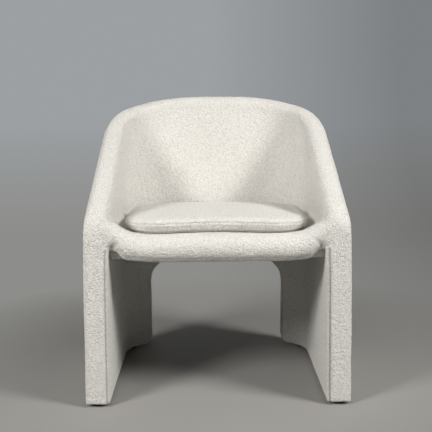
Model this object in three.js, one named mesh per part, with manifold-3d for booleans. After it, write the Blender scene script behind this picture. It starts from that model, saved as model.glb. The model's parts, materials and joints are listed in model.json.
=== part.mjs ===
// A tub chair: two J-shaped side panels and a reclining back carry a webbed seat and a loose cushion.
// Lengths are millimetres. x runs across the chair, y from its front to its back, z up from the floor.
import * as THREE from 'three';
import { mergeVertices } from 'three/addons/utils/BufferGeometryUtils.js';
import Module from 'manifold-3d';

const wasm = await Module();
wasm.setup();

const radians = THREE.MathUtils.degToRad;

// Clearance between pieces that touch, and how far a cutter runs past what it cuts.
const gap = 0.3;
const overrun = 40;

// Tub wall, seen from above: straight arms, rounded corners, straight back.
const waistHalfWidth = 340;
const footFlare = 3;
const armLean = radians(1.5);
const wallThickness = 62;
const baseDepth = 562;
const waistHeight = 300;
const reclineAngle = radians(10);
const footInnerCorner = 90;
const tubInnerCorner = 155;
const glideHeight = 10;

// Rim: a knee over each leg, a rising arm line and a gently arched back.
const armFrontHeight = 495;
const armAngle = radians(26.6);
const kneeRadius = 60;
const topHeight = 790;
const cornerDrop = 53;
const cornerDropPower = 2.8;
const rimBlend = 12;
const rimRadius = 27;
const edgeRadius = 10;

// Layers of the wall, from outside in.
const fabric = 3;
const foamDepth = 19;
const spliceThickness = 8;

// Rear arch between the two J panels.
const archSideWidth = 131;
const archTop = 286;
const archCorner = 75;
const archFoot = 20;

// Seams of the covers.
const backSeamSetback = 67;
const backSeamAngle = radians(9.2);
const rimLap = 30;
const outerBackInset = 15;
const legSeamInset = 6;

// Seat: deck, rolled front lip, frame and webbing.
const deckHeight = 446;
const lipSetback = 4;
const lipRadius = 35;
const lipEndRun = 108;
const lipEndPower = 1.4;
const lipRingShares = [0.3, 0.5, 0.65, 0.8, 0.9, 1];
const saddleRadius = 40;
const saddleEnd = 60;
const saddleFade = 50;
const railSetback = 52;
const railWidth = 28;
const railHeight = 27;
const railClearance = 5;
const cornerBlockLeg = 60;
const dustCoverThickness = 1.8;
const dustCoverMargin = 6;
const strapWidth = 50;
const strapThickness = 1.8;
const strapWave = 2.2;
const strapLanding = 3;

// Seat frame bolts and the ledgers that take them.
const boltRadius = 4;
const boltHeadRadius = 8;
const boltHeadHeight = 5;
const ledgerMargin = 35;
const rearLedgerLap = 20;
const rearBoltMargin = 10;

// Sole under each side panel, glides and their screws.
const soleHeight = 30;
const glideRadius = 20;
const glideChamfer = 2;
const glideSetback = 30;
const glideHeadBore = 5.5;
const glideHeadDepth = 5;
const screwRadius = 2;
const screwHeadRadius = 4.5;
const screwHeadHeight = 3;
const screwBite = 20;
const headCrownShare = 0.75;

// Splice plates over the joints of the plywood shells.
const shellJointLap = 30;
const spliceHalfWidth = 30;
const spliceLift = 20;
const spliceHeight = 230;

// Loose cushion.
const cushionSideGap = 20;
const cushionFront = 55;
const cushionBackGap = 11;
const cushionFrontCorner = 90;
const cushionCornerEase = 5;
const cushionBoxing = 33;
const cushionCrown = 10;
const cushionSeamDraw = 4;
const cushionSideDraw = 4;
const cushionFabric = 2.4;

// Zip in the underside of the cushion.
const zipEndGap = 54;
const zipInset = 75;
const zipSlotWidth = 12;
const zipTapeWidth = 17;
const zipTapeThickness = 1.2;
const zipChainWidth = 5;
const zipChainThickness = 1.1;
const zipGroove = 6.5;
const sliderLength = 12;
const sliderWidth = 9;
const sliderWall = 0.9;
const pullLength = 20;
const pullWidth = 5;

// Steps of the curved runs, and how many straps cross the seat.
const kneeSteps = 4;
const armSteps = 4;
const cornerSteps = 6;
const backSteps = 2;
const rimSteps = 3;
const lipSteps = 6;
const boltSides = 8;
const glideSides = 16;
const settlePasses = 6;
const lengthStrapShares = [-0.75, -0.25, 0.25, 0.75];
const crossStrapShares = [0.22, 0.5, 0.78];

// Finishes, as each mesh's own material is given them.
const boucle = { color: 0xe9e4da, roughness: 0.95, metalness: 0 };
const foam = { color: 0xd8c98f, roughness: 0.9, metalness: 0 };
const plywood = { color: 0xc9a877, roughness: 0.6, metalness: 0 };
const timber = { color: 0xb98d5b, roughness: 0.6, metalness: 0 };
const webbingCloth = { color: 0x7d7566, roughness: 0.85, metalness: 0 };
const cambric = { color: 0x1d1d1f, roughness: 0.9, metalness: 0 };
const steel = { color: 0x9b9da0, roughness: 0.35, metalness: 0.9 };
const plastic = { color: 0x151515, roughness: 0.45, metalness: 0 };
const tapeCloth = { color: 0xdedacf, roughness: 0.85, metalness: 0 };

// Sizes that follow from the ones above.
const overallDepth = baseDepth + (topHeight - rimRadius - waistHeight) * Math.tan(reclineAngle);
const frontFace = -overallDepth / 2;
const foamInset = fabric + gap;
const foamInner = fabric + foamDepth;
const coreInset = foamInner + gap;
const rimCentreHalfWidth = waistHalfWidth - wallThickness / 2;
const lipUnderside = deckHeight - 2 * lipRadius;
const railBottom = lipUnderside + fabric + dustCoverThickness + gap;
const railTop = railBottom + railHeight;
const railMiddle = railBottom + railHeight / 2;
const spliceLow = railTop + spliceLift;
const frameFront = frontFace + railSetback;
const strapBase = railTop + gap;
const deckFoamBottom = strapBase + strapThickness + strapWave + gap;
const lipEndRise = deckFoamBottom - foamInset - gap - lipUnderside;
const soleTop = glideHeight + soleHeight;
const archHalfWidth = waistHalfWidth - archSideWidth;
const cushionBase = deckHeight + gap;

// The wall's outline at a height: outer half width, outer back and outer corner radius.
const belowWaist = (z) => Math.max(0, 1 - z / waistHeight);
const halfWidthAt = (z) =>
  waistHalfWidth + footFlare * belowWaist(z) - Math.max(0, z - waistHeight) * Math.tan(armLean);
const backAt = (z) =>
  frontFace + baseDepth + Math.max(0, z - waistHeight) * Math.tan(reclineAngle);
const cornerAt = (z) =>
  wallThickness + tubInnerCorner + (footInnerCorner - tubInnerCorner) * belowWaist(z);

// Widths inside the wall: the seat between the arms, the straight run of the back at the rails,
// the back's seams at the deck, and the cushion with its clearances.
const seatHalf = halfWidthAt(deckHeight) - wallThickness;
const rearRailHalf = halfWidthAt(railTop) - cornerAt(railTop);
const shellJointHalfWidth = rearRailHalf + shellJointLap;
const cushionHalfWidth = seatHalf - cushionSideGap;
const cushionBack = backAt(deckHeight) - frontFace - wallThickness - cushionBackGap;
const cushionBackCorner = tubInnerCorner + cushionCornerEase;
const zipHalfLength = cushionHalfWidth - zipEndGap;

// Heights of the rim: the arm's line, the back's arch, and the two blended into one curve.
const armLine = (y, inset) =>
  armFrontHeight + (y - frontFace) * Math.tan(armAngle) - inset / Math.cos(armAngle);
const backArch = (x, inset) =>
  topHeight - inset - cornerDrop * Math.pow(Math.abs(x) / rimCentreHalfWidth, cornerDropPower);
function rimHeight(x, y, inset) {
  const arm = armLine(y, inset);
  const back = backArch(x, inset);
  const nearness = Math.max(0, 1 - Math.abs(arm - back) / rimBlend);
  return Math.min(arm, back) - (rimBlend * nearness * nearness) / 4;
}

// A closed solid from points and faces, with its faces turned outwards.
function solidFrom(points, faces) {
  let volume = 0;
  for (const [a, b, c] of faces)
    volume += points[a].dot(new THREE.Vector3().crossVectors(points[b], points[c]));
  const outward = volume < 0 ? faces.map(([a, b, c]) => [a, c, b]) : faces;
  const mesh = new wasm.Mesh({
    numProp: 3,
    vertProperties: new Float32Array(points.flatMap((p) => [p.x, p.y, p.z])),
    triVerts: new Uint32Array(outward.flat()),
  });
  return new wasm.Manifold(mesh);
}

// A closed solid from a three.js geometry.
function solidOf(geometry) {
  geometry.deleteAttribute('normal');
  geometry.deleteAttribute('uv');
  const merged = mergeVertices(geometry);
  const position = merged.getAttribute('position');
  const points = [];
  for (let i = 0; i < position.count; i++)
    points.push(new THREE.Vector3().fromBufferAttribute(position, i));
  const faces = [];
  for (let i = 0; i < merged.index.count; i += 3)
    faces.push([merged.index.getX(i), merged.index.getX(i + 1), merged.index.getX(i + 2)]);
  return solidFrom(points, faces);
}

// The triangles that close a flat ring, all wound the way the ring runs.
function capFaces(ring, flatten) {
  const contour = ring.map(flatten);
  const ringArea = THREE.ShapeUtils.area(contour);
  return THREE.ShapeUtils.triangulateShape(contour, []).map(([a, b, c]) => {
    const area = THREE.ShapeUtils.area([contour[a], contour[b], contour[c]]);
    return area * ringArea < 0 ? [a, c, b] : [a, b, c];
  });
}

// A closed solid through a row of rings with equal counts of points, capped at both ends.
function loft(rings, flatten) {
  const count = rings[0].length;
  const faces = [];
  for (let r = 0; r + 1 < rings.length; r++)
    for (let k = 0; k < count; k++) {
      const a = r * count + k;
      const b = r * count + ((k + 1) % count);
      faces.push([a, b, b + count], [a, b + count, a + count]);
    }
  for (const [a, b, c] of capFaces(rings[0], flatten)) faces.push([c, b, a]);
  const last = (rings.length - 1) * count;
  for (const [a, b, c] of capFaces(rings[rings.length - 1], flatten))
    faces.push([a + last, b + last, c + last]);
  return solidFrom(rings.flat(), faces);
}

const flatAlongX = (p) => new THREE.Vector2(p.y, p.z);
const flatAlongY = (p) => new THREE.Vector2(p.x, p.z);
const flatAlongZ = (p) => new THREE.Vector2(p.x, p.y);

// A box between a low and a high value on each axis.
function box([x0, x1], [y0, y1], [z0, z1]) {
  const geometry = new THREE.BoxGeometry(x1 - x0, y1 - y0, z1 - z0);
  geometry.translate((x0 + x1) / 2, (y0 + y1) / 2, (z0 + z1) / 2);
  return solidOf(geometry);
}

// Prisms: an outline in x and z run along y, in y and z run along x, or in x and y run up z.
const asShape = (outline) => new THREE.Shape(outline.map(([u, v]) => new THREE.Vector2(u, v)));
const extruded = (outline, depth) =>
  new THREE.ExtrudeGeometry(asShape(outline), { depth, bevelEnabled: false, steps: 1 });
const prismAlongY = (outline, [y0, y1]) =>
  solidOf(extruded(outline, y1 - y0).rotateX(Math.PI / 2).translate(0, y1, 0));
const prismAlongX = (outline, [x0, x1]) =>
  solidOf(extruded(outline, x1 - x0).rotateX(Math.PI / 2).rotateZ(Math.PI / 2).translate(x0, 0, 0));
const prismUpZ = (outline, [z0, z1]) => solidOf(extruded(outline, z1 - z0).translate(0, 0, z0));

// A turned solid: a profile of radius and height, spun about z.
const turned = (profile, segments) =>
  new THREE.LatheGeometry(profile.map(([r, z]) => new THREE.Vector2(r, z)), segments)
    .rotateX(Math.PI / 2);

// Stations along half of the wall, from the leg front round to the middle of the back.
const kneeTurn = Math.PI / 2 - armAngle;
const halfStations = [];
for (let i = 0; i <= kneeSteps; i++)
  halfStations.push({ run: 'knee', turn: (kneeTurn * i) / kneeSteps });
for (let i = 1; i <= armSteps; i++) halfStations.push({ run: 'arm', share: i / armSteps });
for (let i = 1; i <= cornerSteps; i++)
  halfStations.push({ run: 'corner', turn: ((Math.PI / 2) * i) / cornerSteps });
for (let i = 1; i <= backSteps; i++) halfStations.push({ run: 'back', share: i / backSteps });

const kneeDepth = (turn, layer) => kneeRadius - (kneeRadius - layer) * Math.cos(turn);
const kneeCentreHeight =
  armFrontHeight + kneeRadius * Math.tan(armAngle) - kneeRadius / Math.cos(armAngle);

// The point of the wall at a station, a height and an inset from the outer face, on the right side.
function planPoint(station, z, inset, layer) {
  const centreX = halfWidthAt(z) - cornerAt(z);
  const centreY = backAt(z) - cornerAt(z);
  const radius = cornerAt(z) - inset;
  if (station.run === 'knee')
    return [halfWidthAt(z) - inset, frontFace + kneeDepth(station.turn, layer)];
  if (station.run === 'arm') {
    const start = frontFace + kneeDepth(kneeTurn, layer);
    return [halfWidthAt(z) - inset, start + (centreY - start) * station.share];
  }
  if (station.run === 'corner')
    return [centreX + radius * Math.cos(station.turn), centreY + radius * Math.sin(station.turn)];
  return [centreX * (1 - station.share), centreY + radius];
}

// The rim's height at a station of a layer that lies a given inset inside the outer face.
function stationRim(station, layer) {
  if (station.run === 'knee')
    return kneeCentreHeight + (kneeRadius - layer) * Math.sin(station.turn);
  let z = topHeight;
  for (let pass = 0; pass < settlePasses; pass++) {
    const [x, y] = planPoint(station, z, wallThickness / 2, layer);
    z = rimHeight(x, y, layer);
  }
  return z;
}

// One closed section of the wall at a station: inner face, rounded rim, outer face.
function wallSection(station, layer, bottom) {
  const cornerRound = Math.max(edgeRadius - layer, 0);
  const run = station.run === 'knee' ? kneeDepth(station.turn, layer) - layer : cornerRound;
  const short = THREE.MathUtils.clamp(cornerRound - run, 0, cornerRound);
  const pinch = cornerRound - Math.sqrt(cornerRound * cornerRound - short * short);
  const top = stationRim(station, layer);
  const radius = rimRadius - layer - pinch;
  const inner = wallThickness - layer - pinch;
  const outer = layer + pinch;
  const profile = [[inner, bottom], [inner, waistHeight]];
  for (let i = 0; i <= rimSteps; i++) {
    const turn = ((Math.PI / 2) * i) / rimSteps;
    profile.push([inner - radius * (1 - Math.cos(turn)), top - radius * (1 - Math.sin(turn))]);
  }
  for (let i = rimSteps; i >= 0; i--) {
    const turn = ((Math.PI / 2) * i) / rimSteps;
    profile.push([outer + radius * (1 - Math.cos(turn)), top - radius * (1 - Math.sin(turn))]);
  }
  profile.push([outer, waistHeight], [outer, bottom]);
  return profile.map(([inset, z]) => {
    const [x, y] = planPoint(station, z, inset, layer);
    return new THREE.Vector3(x, y, z);
  });
}

const mirrored = (ring) => ring.map((p) => new THREE.Vector3(-p.x, p.y, p.z));

// The whole wall, moved in by a layer on all its faces, standing on a given height.
function wallBody(layer, bottom) {
  const right = halfStations.map((station) => wallSection(station, layer, bottom));
  const left = right.slice(0, -1).map(mirrored).reverse();
  return loft([...right, ...left], flatAlongY);
}

// The opening of the rear arch, grown by a layer.
function archCutter(layer, bottom) {
  const half = archHalfWidth + layer;
  const top = archTop + layer;
  const corner = archCorner + layer;
  const footCentre = [archHalfWidth + archFoot, glideHeight + archFoot];
  const footRadius = archFoot - layer;
  const side = [[half + footRadius, bottom]];
  for (let i = 0; i <= rimSteps; i++) {
    const turn = ((Math.PI / 2) * i) / rimSteps;
    side.push([
      footCentre[0] - footRadius * Math.sin(turn),
      footCentre[1] - footRadius * Math.cos(turn),
    ]);
  }
  for (let i = 0; i <= cornerSteps; i++) {
    const turn = ((Math.PI / 2) * i) / cornerSteps;
    side.push([half - corner + corner * Math.cos(turn), top - corner + corner * Math.sin(turn)]);
  }
  const other = side.map(([x, z]) => [-x, z]).reverse();
  return prismAlongY([...side, ...other], [0, backAt(topHeight) + overrun]);
}

const wallLayer = (layer, bottom) =>
  wallBody(layer, bottom).subtract(archCutter(layer, bottom - overrun));

// The outline of the tub seen from above, a given inset from the outer face.
function tubOutline(z, inset, front) {
  const right = halfStations
    .filter((station) => station.run !== 'knee')
    .map((station) => planPoint(station, z, inset, 0));
  const start = [right[0][0], front];
  const half = [start, ...right];
  const other = half.slice(0, -1).map(([x, y]) => [-x, y]).reverse();
  return [...half, ...other].map(([x, y]) => new THREE.Vector3(x, y, z));
}

// The solid inside the tub's wall between two heights, starting a given depth behind the front.
function tubInterior(inset, [low, high], depth) {
  const levels = low < waistHeight && high > waistHeight ? [low, waistHeight, high] : [low, high];
  return loft(levels.map((z) => tubOutline(z, inset, frontFace + depth)), flatAlongZ);
}

// Half width of the inside back panel at a height, and the zone between its seams.
const seamHalfWidth = (z) =>
  seatHalf - backSeamSetback + (z - deckHeight) * Math.tan(backSeamAngle);
function backZone(growth) {
  const low = 0;
  const high = topHeight + overrun;
  const outline = [
    [-seamHalfWidth(low) - growth, low], [seamHalfWidth(low) + growth, low],
    [seamHalfWidth(high) + growth, high], [-seamHalfWidth(high) - growth, high],
  ];
  return prismAlongY(outline, [0, backAt(topHeight) + overrun]);
}

// Everything behind a plane that leans with the back, a given inset in front of its outer face.
function behindZone(inset) {
  const high = topHeight + overrun;
  const behind = backAt(topHeight) + overrun;
  const profile = [
    [backAt(0) - inset, -overrun], [backAt(waistHeight) - inset, waistHeight],
    [backAt(high) - inset, high], [behind, high], [behind, -overrun],
  ];
  return prismAlongX(profile, [-waistHalfWidth - overrun, waistHalfWidth + overrun]);
}

// The zone of the outside back cover: behind the wall's middle and below the rim.
function outsideZone(growth) {
  const behind = backAt(topHeight) + overrun;
  const half = waistHalfWidth + overrun;
  const rim = [[half, -overrun]];
  for (let i = 2 * cornerSteps; i >= -2 * cornerSteps; i--) {
    const x = (waistHalfWidth * i) / (2 * cornerSteps);
    rim.push([x, backArch(x, rimLap) + growth]);
  }
  rim.push([-half, -overrun]);
  return behindZone(outerBackInset + growth).intersect(prismAlongY(rim, [0, behind]));
}

const sides = [
  { name: 'left', sign: -1 },
  { name: 'right', sign: 1 },
];

// Everything on one side of the chair's centre.
function sideZone(sign) {
  const far = sign * (waistHalfWidth + overrun);
  const edges = [Math.min(0, far), Math.max(0, far)];
  return box(edges, [frontFace - overrun, backAt(topHeight) + overrun], [-overrun, topHeight + overrun]);
}

// The chair and its groups: the wall with its feet, the seat with its frame, and the loose cushion.
const chair = new THREE.Group();
const wall = new THREE.Group();
const seat = new THREE.Group();
const cushion = new THREE.Group();
chair.add(wall, seat, cushion);

// Adds a solid to a group as a named mesh with a material of its own.
function addPiece(group, name, solid, finish) {
  const { vertProperties, triVerts } = solid.getMesh();
  const geometry = new THREE.BufferGeometry();
  geometry.setAttribute('position', new THREE.BufferAttribute(new Float32Array(vertProperties), 3));
  geometry.setIndex(new THREE.BufferAttribute(new Uint32Array(triVerts), 1));
  geometry.computeVertexNormals();
  const mesh = new THREE.Mesh(geometry, new THREE.MeshStandardMaterial(finish));
  mesh.name = name;
  group.add(mesh);
  return mesh;
}

// Places of the seat frame bolts: two through each side rail and two through the rear rail.
const railInset = wallThickness + gap;
const tubCornerStart = backAt(railTop) - cornerAt(railTop);
const sideBoltDepths = [
  frontFace + railSetback + railWidth + cornerBlockLeg + ledgerMargin,
  tubCornerStart - ledgerMargin,
];
const boltLength = railWidth + wallThickness - coreInset + gap;
const headSeat = railInset + railWidth + gap;
const rearHeadY = backAt(railMiddle - boltHeadRadius) - headSeat;

// A bolt along +x from its head at zero, with a growth for the hole that it needs.
function boltBody(growth, length) {
  const shank = boltRadius + growth;
  const profile = [[0, -growth], [shank, -growth], [shank, length], [0, length]];
  return turned(profile, boltSides).rotateY(Math.PI / 2);
}
const boltHead = () =>
  turned([
    [0, -boltHeadHeight], [boltHeadRadius * headCrownShare, -boltHeadHeight],
    [boltHeadRadius, -boltHeadHeight / 2], [boltHeadRadius, 0], [0, 0],
  ], boltSides).rotateY(Math.PI / 2);

// Side bolts and rear bolts: the middle of each head's seat, and how its +x axis is turned.
const boltPlaces = [];
for (const side of sides) {
  const x = side.sign * (halfWidthAt(railMiddle) - headSeat);
  const turn = side.sign > 0 ? 0 : Math.PI;
  sideBoltDepths.forEach((y, i) => boltPlaces.push({ name: `${side.name}_${i + 1}`, x, y, turn }));
}
for (const side of sides)
  boltPlaces.push({
    name: `rear_${side.name}`,
    x: side.sign * (rearRailHalf - rearBoltMargin),
    y: rearHeadY,
    turn: Math.PI / 2,
  });
const boltHoles = boltPlaces
  .map(({ x, y, turn }) =>
    solidOf(boltBody(gap, boltLength + 2 * gap).rotateZ(turn).translate(x, y, railMiddle)),
  )
  .reduce((all, hole) => all.add(hole));

// Wall layers as whole bodies.
const coverTop = wallLayer(0, glideHeight);
const coverInside = wallLayer(fabric, glideHeight - overrun);
const coverSkin = coverTop.subtract(coverInside).subtract(boltHoles);
const foamHollow = wallLayer(foamInner, soleTop - overrun);
const foamShell = wallLayer(foamInset, soleTop + gap).subtract(foamHollow);
const coreShell = wallLayer(coreInset, soleTop + gap);

// The zones of the leg covers and of the leg foams: the inner face of each panel, below the seat.
const legCoverZone = (growth) =>
  tubInterior(
    wallThickness - legSeamInset - growth, [glideHeight - overrun, railTop + growth], -overrun,
  );
const legFoamZone = (growth) =>
  tubInterior(
    wallThickness - foamInner - gap, [glideHeight - overrun, railTop + growth], coreInset + gap - growth,
  );

// Ledgers: plywood strips in the foam layer, behind the side rails and the rear rail.
const ledgerZone = (sign, growth) =>
  box(
    sign > 0 ? [0, waistHalfWidth] : [-waistHalfWidth, 0],
    [frameFront - growth, tubCornerStart + growth],
    [railBottom - growth, railTop - gap + growth],
  ).intersect(legFoamZone(0));
const rearLedgerZone = (growth) =>
  box(
    [-rearRailHalf - rearLedgerLap - growth, rearRailHalf + rearLedgerLap + growth],
    [0, backAt(railTop) - wallThickness / 2],
    [railBottom - growth, railTop - gap + growth],
  );

// Splice plates lie in the outer foam, flat on the shells.
const spliceInset = foamInner - spliceThickness;
const spliceLayer = (growth) =>
  wallLayer(spliceInset - growth, soleTop).intersect(behindZone(wallThickness / 2));
function spliceZone(sign, growth) {
  const centre = sign * shellJointHalfWidth;
  return box(
    [centre - spliceHalfWidth - growth, centre + spliceHalfWidth + growth],
    [0, backAt(topHeight) + overrun],
    [spliceLow - growth, spliceLow + spliceHeight + growth],
  ).intersect(spliceLayer(growth));
}

function addShells() {
  const cored = coreShell.subtract(boltHoles);
  const joint = (growth) =>
    box(
      [-shellJointHalfWidth - growth, shellJointHalfWidth + growth],
      [0, backAt(topHeight) + overrun],
      [0, topHeight + overrun],
    );
  for (const side of sides) {
    const half = cored.intersect(sideZone(side.sign)).subtract(joint(gap / 2));
    addPiece(wall, `side_shell_${side.name}`, half, plywood);
  }
  addPiece(wall, 'back_shell', cored.intersect(joint(-gap / 2)), plywood);
  for (const side of sides) {
    const plate = spliceZone(side.sign, 0).subtract(foamHollow);
    addPiece(wall, `splice_plate_${side.name}`, plate, plywood);
  }
  const strip = foamShell.subtract(boltHoles);
  for (const side of sides)
    addPiece(wall, `ledger_${side.name}`, strip.intersect(ledgerZone(side.sign, 0)), plywood);
  addPiece(wall, 'ledger_rear', strip.intersect(rearLedgerZone(0)), plywood);
}

// The back's foam is a pad inside the shell and a wrap outside it, which meet along the rim.
function addWallFoam() {
  const height = [glideHeight, topHeight + overrun];
  const insideShell = (growth) => tubInterior(wallThickness / 2 - growth, height, -overrun);
  let back = foamShell.intersect(backZone(-gap / 2)).subtract(rearLedgerZone(gap));
  for (const side of sides) {
    const half = foamShell.intersect(sideZone(side.sign)).subtract(backZone(gap / 2));
    const splice = spliceZone(side.sign, gap);
    const arm = half.subtract(legFoamZone(gap)).subtract(splice);
    const leg = half.intersect(legFoamZone(0)).subtract(ledgerZone(side.sign, gap));
    addPiece(wall, `arm_foam_${side.name}`, arm, foam);
    addPiece(wall, `leg_foam_${side.name}`, leg.subtract(boltHoles), foam);
    back = back.subtract(splice);
  }
  back = back.subtract(boltHoles);
  addPiece(wall, 'back_foam', back.intersect(insideShell(-gap / 2)), foam);
  addPiece(wall, 'outside_back_foam', back.subtract(insideShell(gap / 2)), foam);
}

function addCovers() {
  for (const side of sides) {
    const half = coverSkin.intersect(sideZone(side.sign)).subtract(backZone(gap / 2));
    addPiece(wall, `arm_cover_${side.name}`, half.subtract(legCoverZone(gap)), boucle);
    addPiece(wall, `leg_cover_${side.name}`, half.intersect(legCoverZone(0)), boucle);
  }
  const back = coverSkin.intersect(backZone(-gap / 2));
  addPiece(wall, 'inside_back_cover', back.subtract(outsideZone(gap)), boucle);
  addPiece(wall, 'outside_back_cover', back.intersect(outsideZone(0)), boucle);
}

// Soles, glides and glide screws. The rear glides sit on the wall's middle line in its corners.
const footCorner = cornerAt(glideHeight);
const rearGlideReach = (footCorner - wallThickness / 2) * Math.SQRT1_2;
const glidePlaces = [
  { name: 'front', x: halfWidthAt(0) - wallThickness / 2, y: frontFace + glideSetback },
  {
    name: 'rear',
    x: halfWidthAt(glideHeight) - footCorner + rearGlideReach,
    y: backAt(glideHeight) - footCorner + rearGlideReach,
  },
];
const screwHoleRadius = screwRadius + gap;

function addFeet() {
  const span = halfWidthAt(0);
  const sole = wallLayer(foamInset, glideHeight).intersect(
    box([-span, span], [frontFace, backAt(0)], [0, soleTop]),
  );
  const glideProfile = [
    [screwHoleRadius, glideHeight - gap], [screwHoleRadius, glideHeadDepth],
    [glideHeadBore, glideHeadDepth], [glideHeadBore, 0], [glideRadius - glideChamfer, 0],
    [glideRadius, glideChamfer], [glideRadius, glideHeight - gap],
    [screwHoleRadius, glideHeight - gap],
  ];
  const headBottom = glideHeadDepth - gap - screwHeadHeight;
  const screwProfile = [
    [0, headBottom], [screwHeadRadius * headCrownShare, headBottom],
    [screwHeadRadius, headBottom + screwHeadHeight / 2], [screwHeadRadius, glideHeadDepth - gap],
    [screwRadius, glideHeadDepth - gap], [screwRadius, glideHeight + screwBite],
    [0, glideHeight + screwBite],
  ];
  const holeProfile = [
    [0, 0], [screwHoleRadius, 0], [screwHoleRadius, glideHeight + screwBite + gap],
    [0, glideHeight + screwBite + gap],
  ];
  for (const side of sides) {
    let panelSole = sole.intersect(sideZone(side.sign));
    for (const place of glidePlaces) {
      const foot = new THREE.Group();
      foot.position.set(side.sign * place.x, place.y, 0);
      wall.add(foot);
      const hole = turned(holeProfile, boltSides).translate(foot.position.x, foot.position.y, 0);
      panelSole = panelSole.subtract(solidOf(hole));
      const glide = solidOf(turned(glideProfile, glideSides));
      const screw = solidOf(turned(screwProfile, boltSides));
      addPiece(foot, `glide_${place.name}_${side.name}`, glide, plastic);
      addPiece(foot, `glide_screw_${place.name}_${side.name}`, screw, steel);
    }
    addPiece(wall, `sole_${side.name}`, panelSole, timber);
  }
}

// Seat frame: a ring of rails that follows the tub, cut into rails and curved rear corners.
const insideRail = halfWidthAt(railTop) - railInset - railWidth;

function addSeatFrame() {
  const outer = tubInterior(railInset, [railBottom, railTop], railSetback);
  const inner = tubInterior(
    railInset + railWidth, [railBottom - overrun, railTop + overrun], railSetback + railWidth,
  );
  const ring = outer.subtract(inner).subtract(boltHoles);
  const height = [railBottom - overrun, railTop + overrun];
  const halfSpan = waistHalfWidth;
  const frontEnd = frameFront + railWidth;
  const rearStart = tubCornerStart;
  const behind = backAt(topHeight);
  const frontZone = box([-halfSpan, halfSpan], [frameFront - overrun, frontEnd], height);
  addPiece(seat, 'seat_rail_front', ring.intersect(frontZone), timber);
  const rearZone = box([-rearRailHalf + gap, rearRailHalf - gap], [rearStart, behind], height);
  addPiece(seat, 'seat_rail_rear', ring.intersect(rearZone), timber);
  for (const side of sides) {
    const half = ring.intersect(sideZone(side.sign));
    const along = box([-halfSpan, halfSpan], [frontEnd + gap, rearStart - gap], height);
    addPiece(seat, `seat_rail_${side.name}`, half.intersect(along), timber);
    const far = side.sign * halfSpan;
    const near = side.sign * rearRailHalf;
    const corner = box([Math.min(near, far), Math.max(near, far)], [rearStart, behind], height);
    addPiece(seat, `seat_corner_rear_${side.name}`, half.intersect(corner), plywood);
    const outline = [[0, 0], [-side.sign * cornerBlockLeg, 0], [0, cornerBlockLeg]];
    const block = prismUpZ(outline, [0, railHeight]);
    addPiece(seat, `corner_block_front_${side.name}`, block, timber)
      .position.set(side.sign * (insideRail - gap), frontEnd + gap, railBottom);
  }
}

// Places of the straps: x of those that run front to back, y of those that run across.
const lengthStraps = lengthStrapShares.map((share) => share * insideRail);
const frameBack = backAt(railTop) - railInset;
const crossStraps = crossStrapShares.map(
  (share) => frameFront + railWidth + (frameBack - 2 * railWidth - frameFront) * share,
);

// How far a strap may reach past the start of the frame's rounded rear corner, when its middle lies
// a given way past the start of that corner on the other axis.
function strapReach(middle) {
  const past = Math.max(0, middle + strapWidth / 2);
  const radius = cornerAt(railTop) - railInset;
  return Math.sqrt(radius * radius - past * past) - strapLanding;
}

// Sections of a flat strap at a row of places along it, each with a height of its underside.
const strapRings = (places, pointAt) =>
  places.map(([along, z]) =>
    [[-1, 0], [1, 0], [1, 1], [-1, 1]].map(([u, w]) =>
      pointAt(along, (u * strapWidth) / 2, z + w * strapThickness),
    ),
  );

// Heights of a woven strap: up over every other strap that it crosses, down under the rest.
function wovenPlaces(start, end, crossings, parity) {
  const places = [[start, strapBase]];
  crossings.forEach((centre, i) => {
    const z = strapBase + ((i + parity) % 2 === 0 ? strapWave : 0);
    places.push([centre - strapWidth / 2 - strapWave, z], [centre + strapWidth / 2 + strapWave, z]);
  });
  places.push([end, strapBase]);
  return places;
}

function addWebbing() {
  const front = frameFront + strapLanding;
  lengthStraps.forEach((x, i) => {
    const back = tubCornerStart + strapReach(Math.abs(x) - rearRailHalf);
    const places = wovenPlaces(front, back, crossStraps, i);
    const rings = strapRings(places, (along, u, z) => new THREE.Vector3(u, along, z));
    addPiece(seat, `webbing_length_${i + 1}`, loft(rings, flatAlongY), webbingCloth).position.x = x;
  });
  crossStraps.forEach((y, i) => {
    const half = rearRailHalf + strapReach(y - tubCornerStart);
    const places = wovenPlaces(-half, half, lengthStraps, i + 1);
    const rings = strapRings(places, (along, u, z) => new THREE.Vector3(along, u, z));
    addPiece(seat, `webbing_cross_${i + 1}`, loft(rings, flatAlongX), webbingCloth).position.y = y;
  });
}

// Seat deck and lip. The lip's underside rises and its top saddles up where it meets the arms.
function lipUnder(x) {
  const share = Math.max(0, (Math.abs(x) - seatHalf + lipEndRun) / lipEndRun);
  return lipUnderside + lipEndRise * Math.pow(share, lipEndPower);
}
function deckTop(x, depth) {
  const reach = Math.max(0, Math.abs(x) - seatHalf + saddleRadius);
  const fade = THREE.MathUtils.clamp(1 - (depth - saddleEnd) / saddleFade, 0, 1);
  return deckHeight + (fade * reach * reach) / (2 * saddleRadius);
}

// One section of the seat at x: deck, rolled lip and then the given tail of points under it.
function seatRing(x, layer, tail) {
  const rearDepth = overallDepth;
  const lipCentre = lipSetback + lipRadius;
  const under = lipUnder(x) + layer;
  const ring = [
    [rearDepth, deckTop(x, rearDepth) - layer],
    [saddleEnd + saddleFade, deckTop(x, saddleEnd + saddleFade) - layer],
    [saddleEnd, deckTop(x, saddleEnd) - layer],
  ];
  const top = deckTop(x, lipCentre) - layer;
  const middle = (top + under) / 2;
  const half = (top - under) / 2;
  for (let i = 0; i <= lipSteps; i++) {
    const turn = (Math.PI * i) / lipSteps;
    ring.push([lipCentre - (lipRadius - layer) * Math.sin(turn), middle + half * Math.cos(turn)]);
  }
  for (const place of tail) ring.push(place);
  return ring.map(([depth, z]) => new THREE.Vector3(x, frontFace + depth, z));
}

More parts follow.
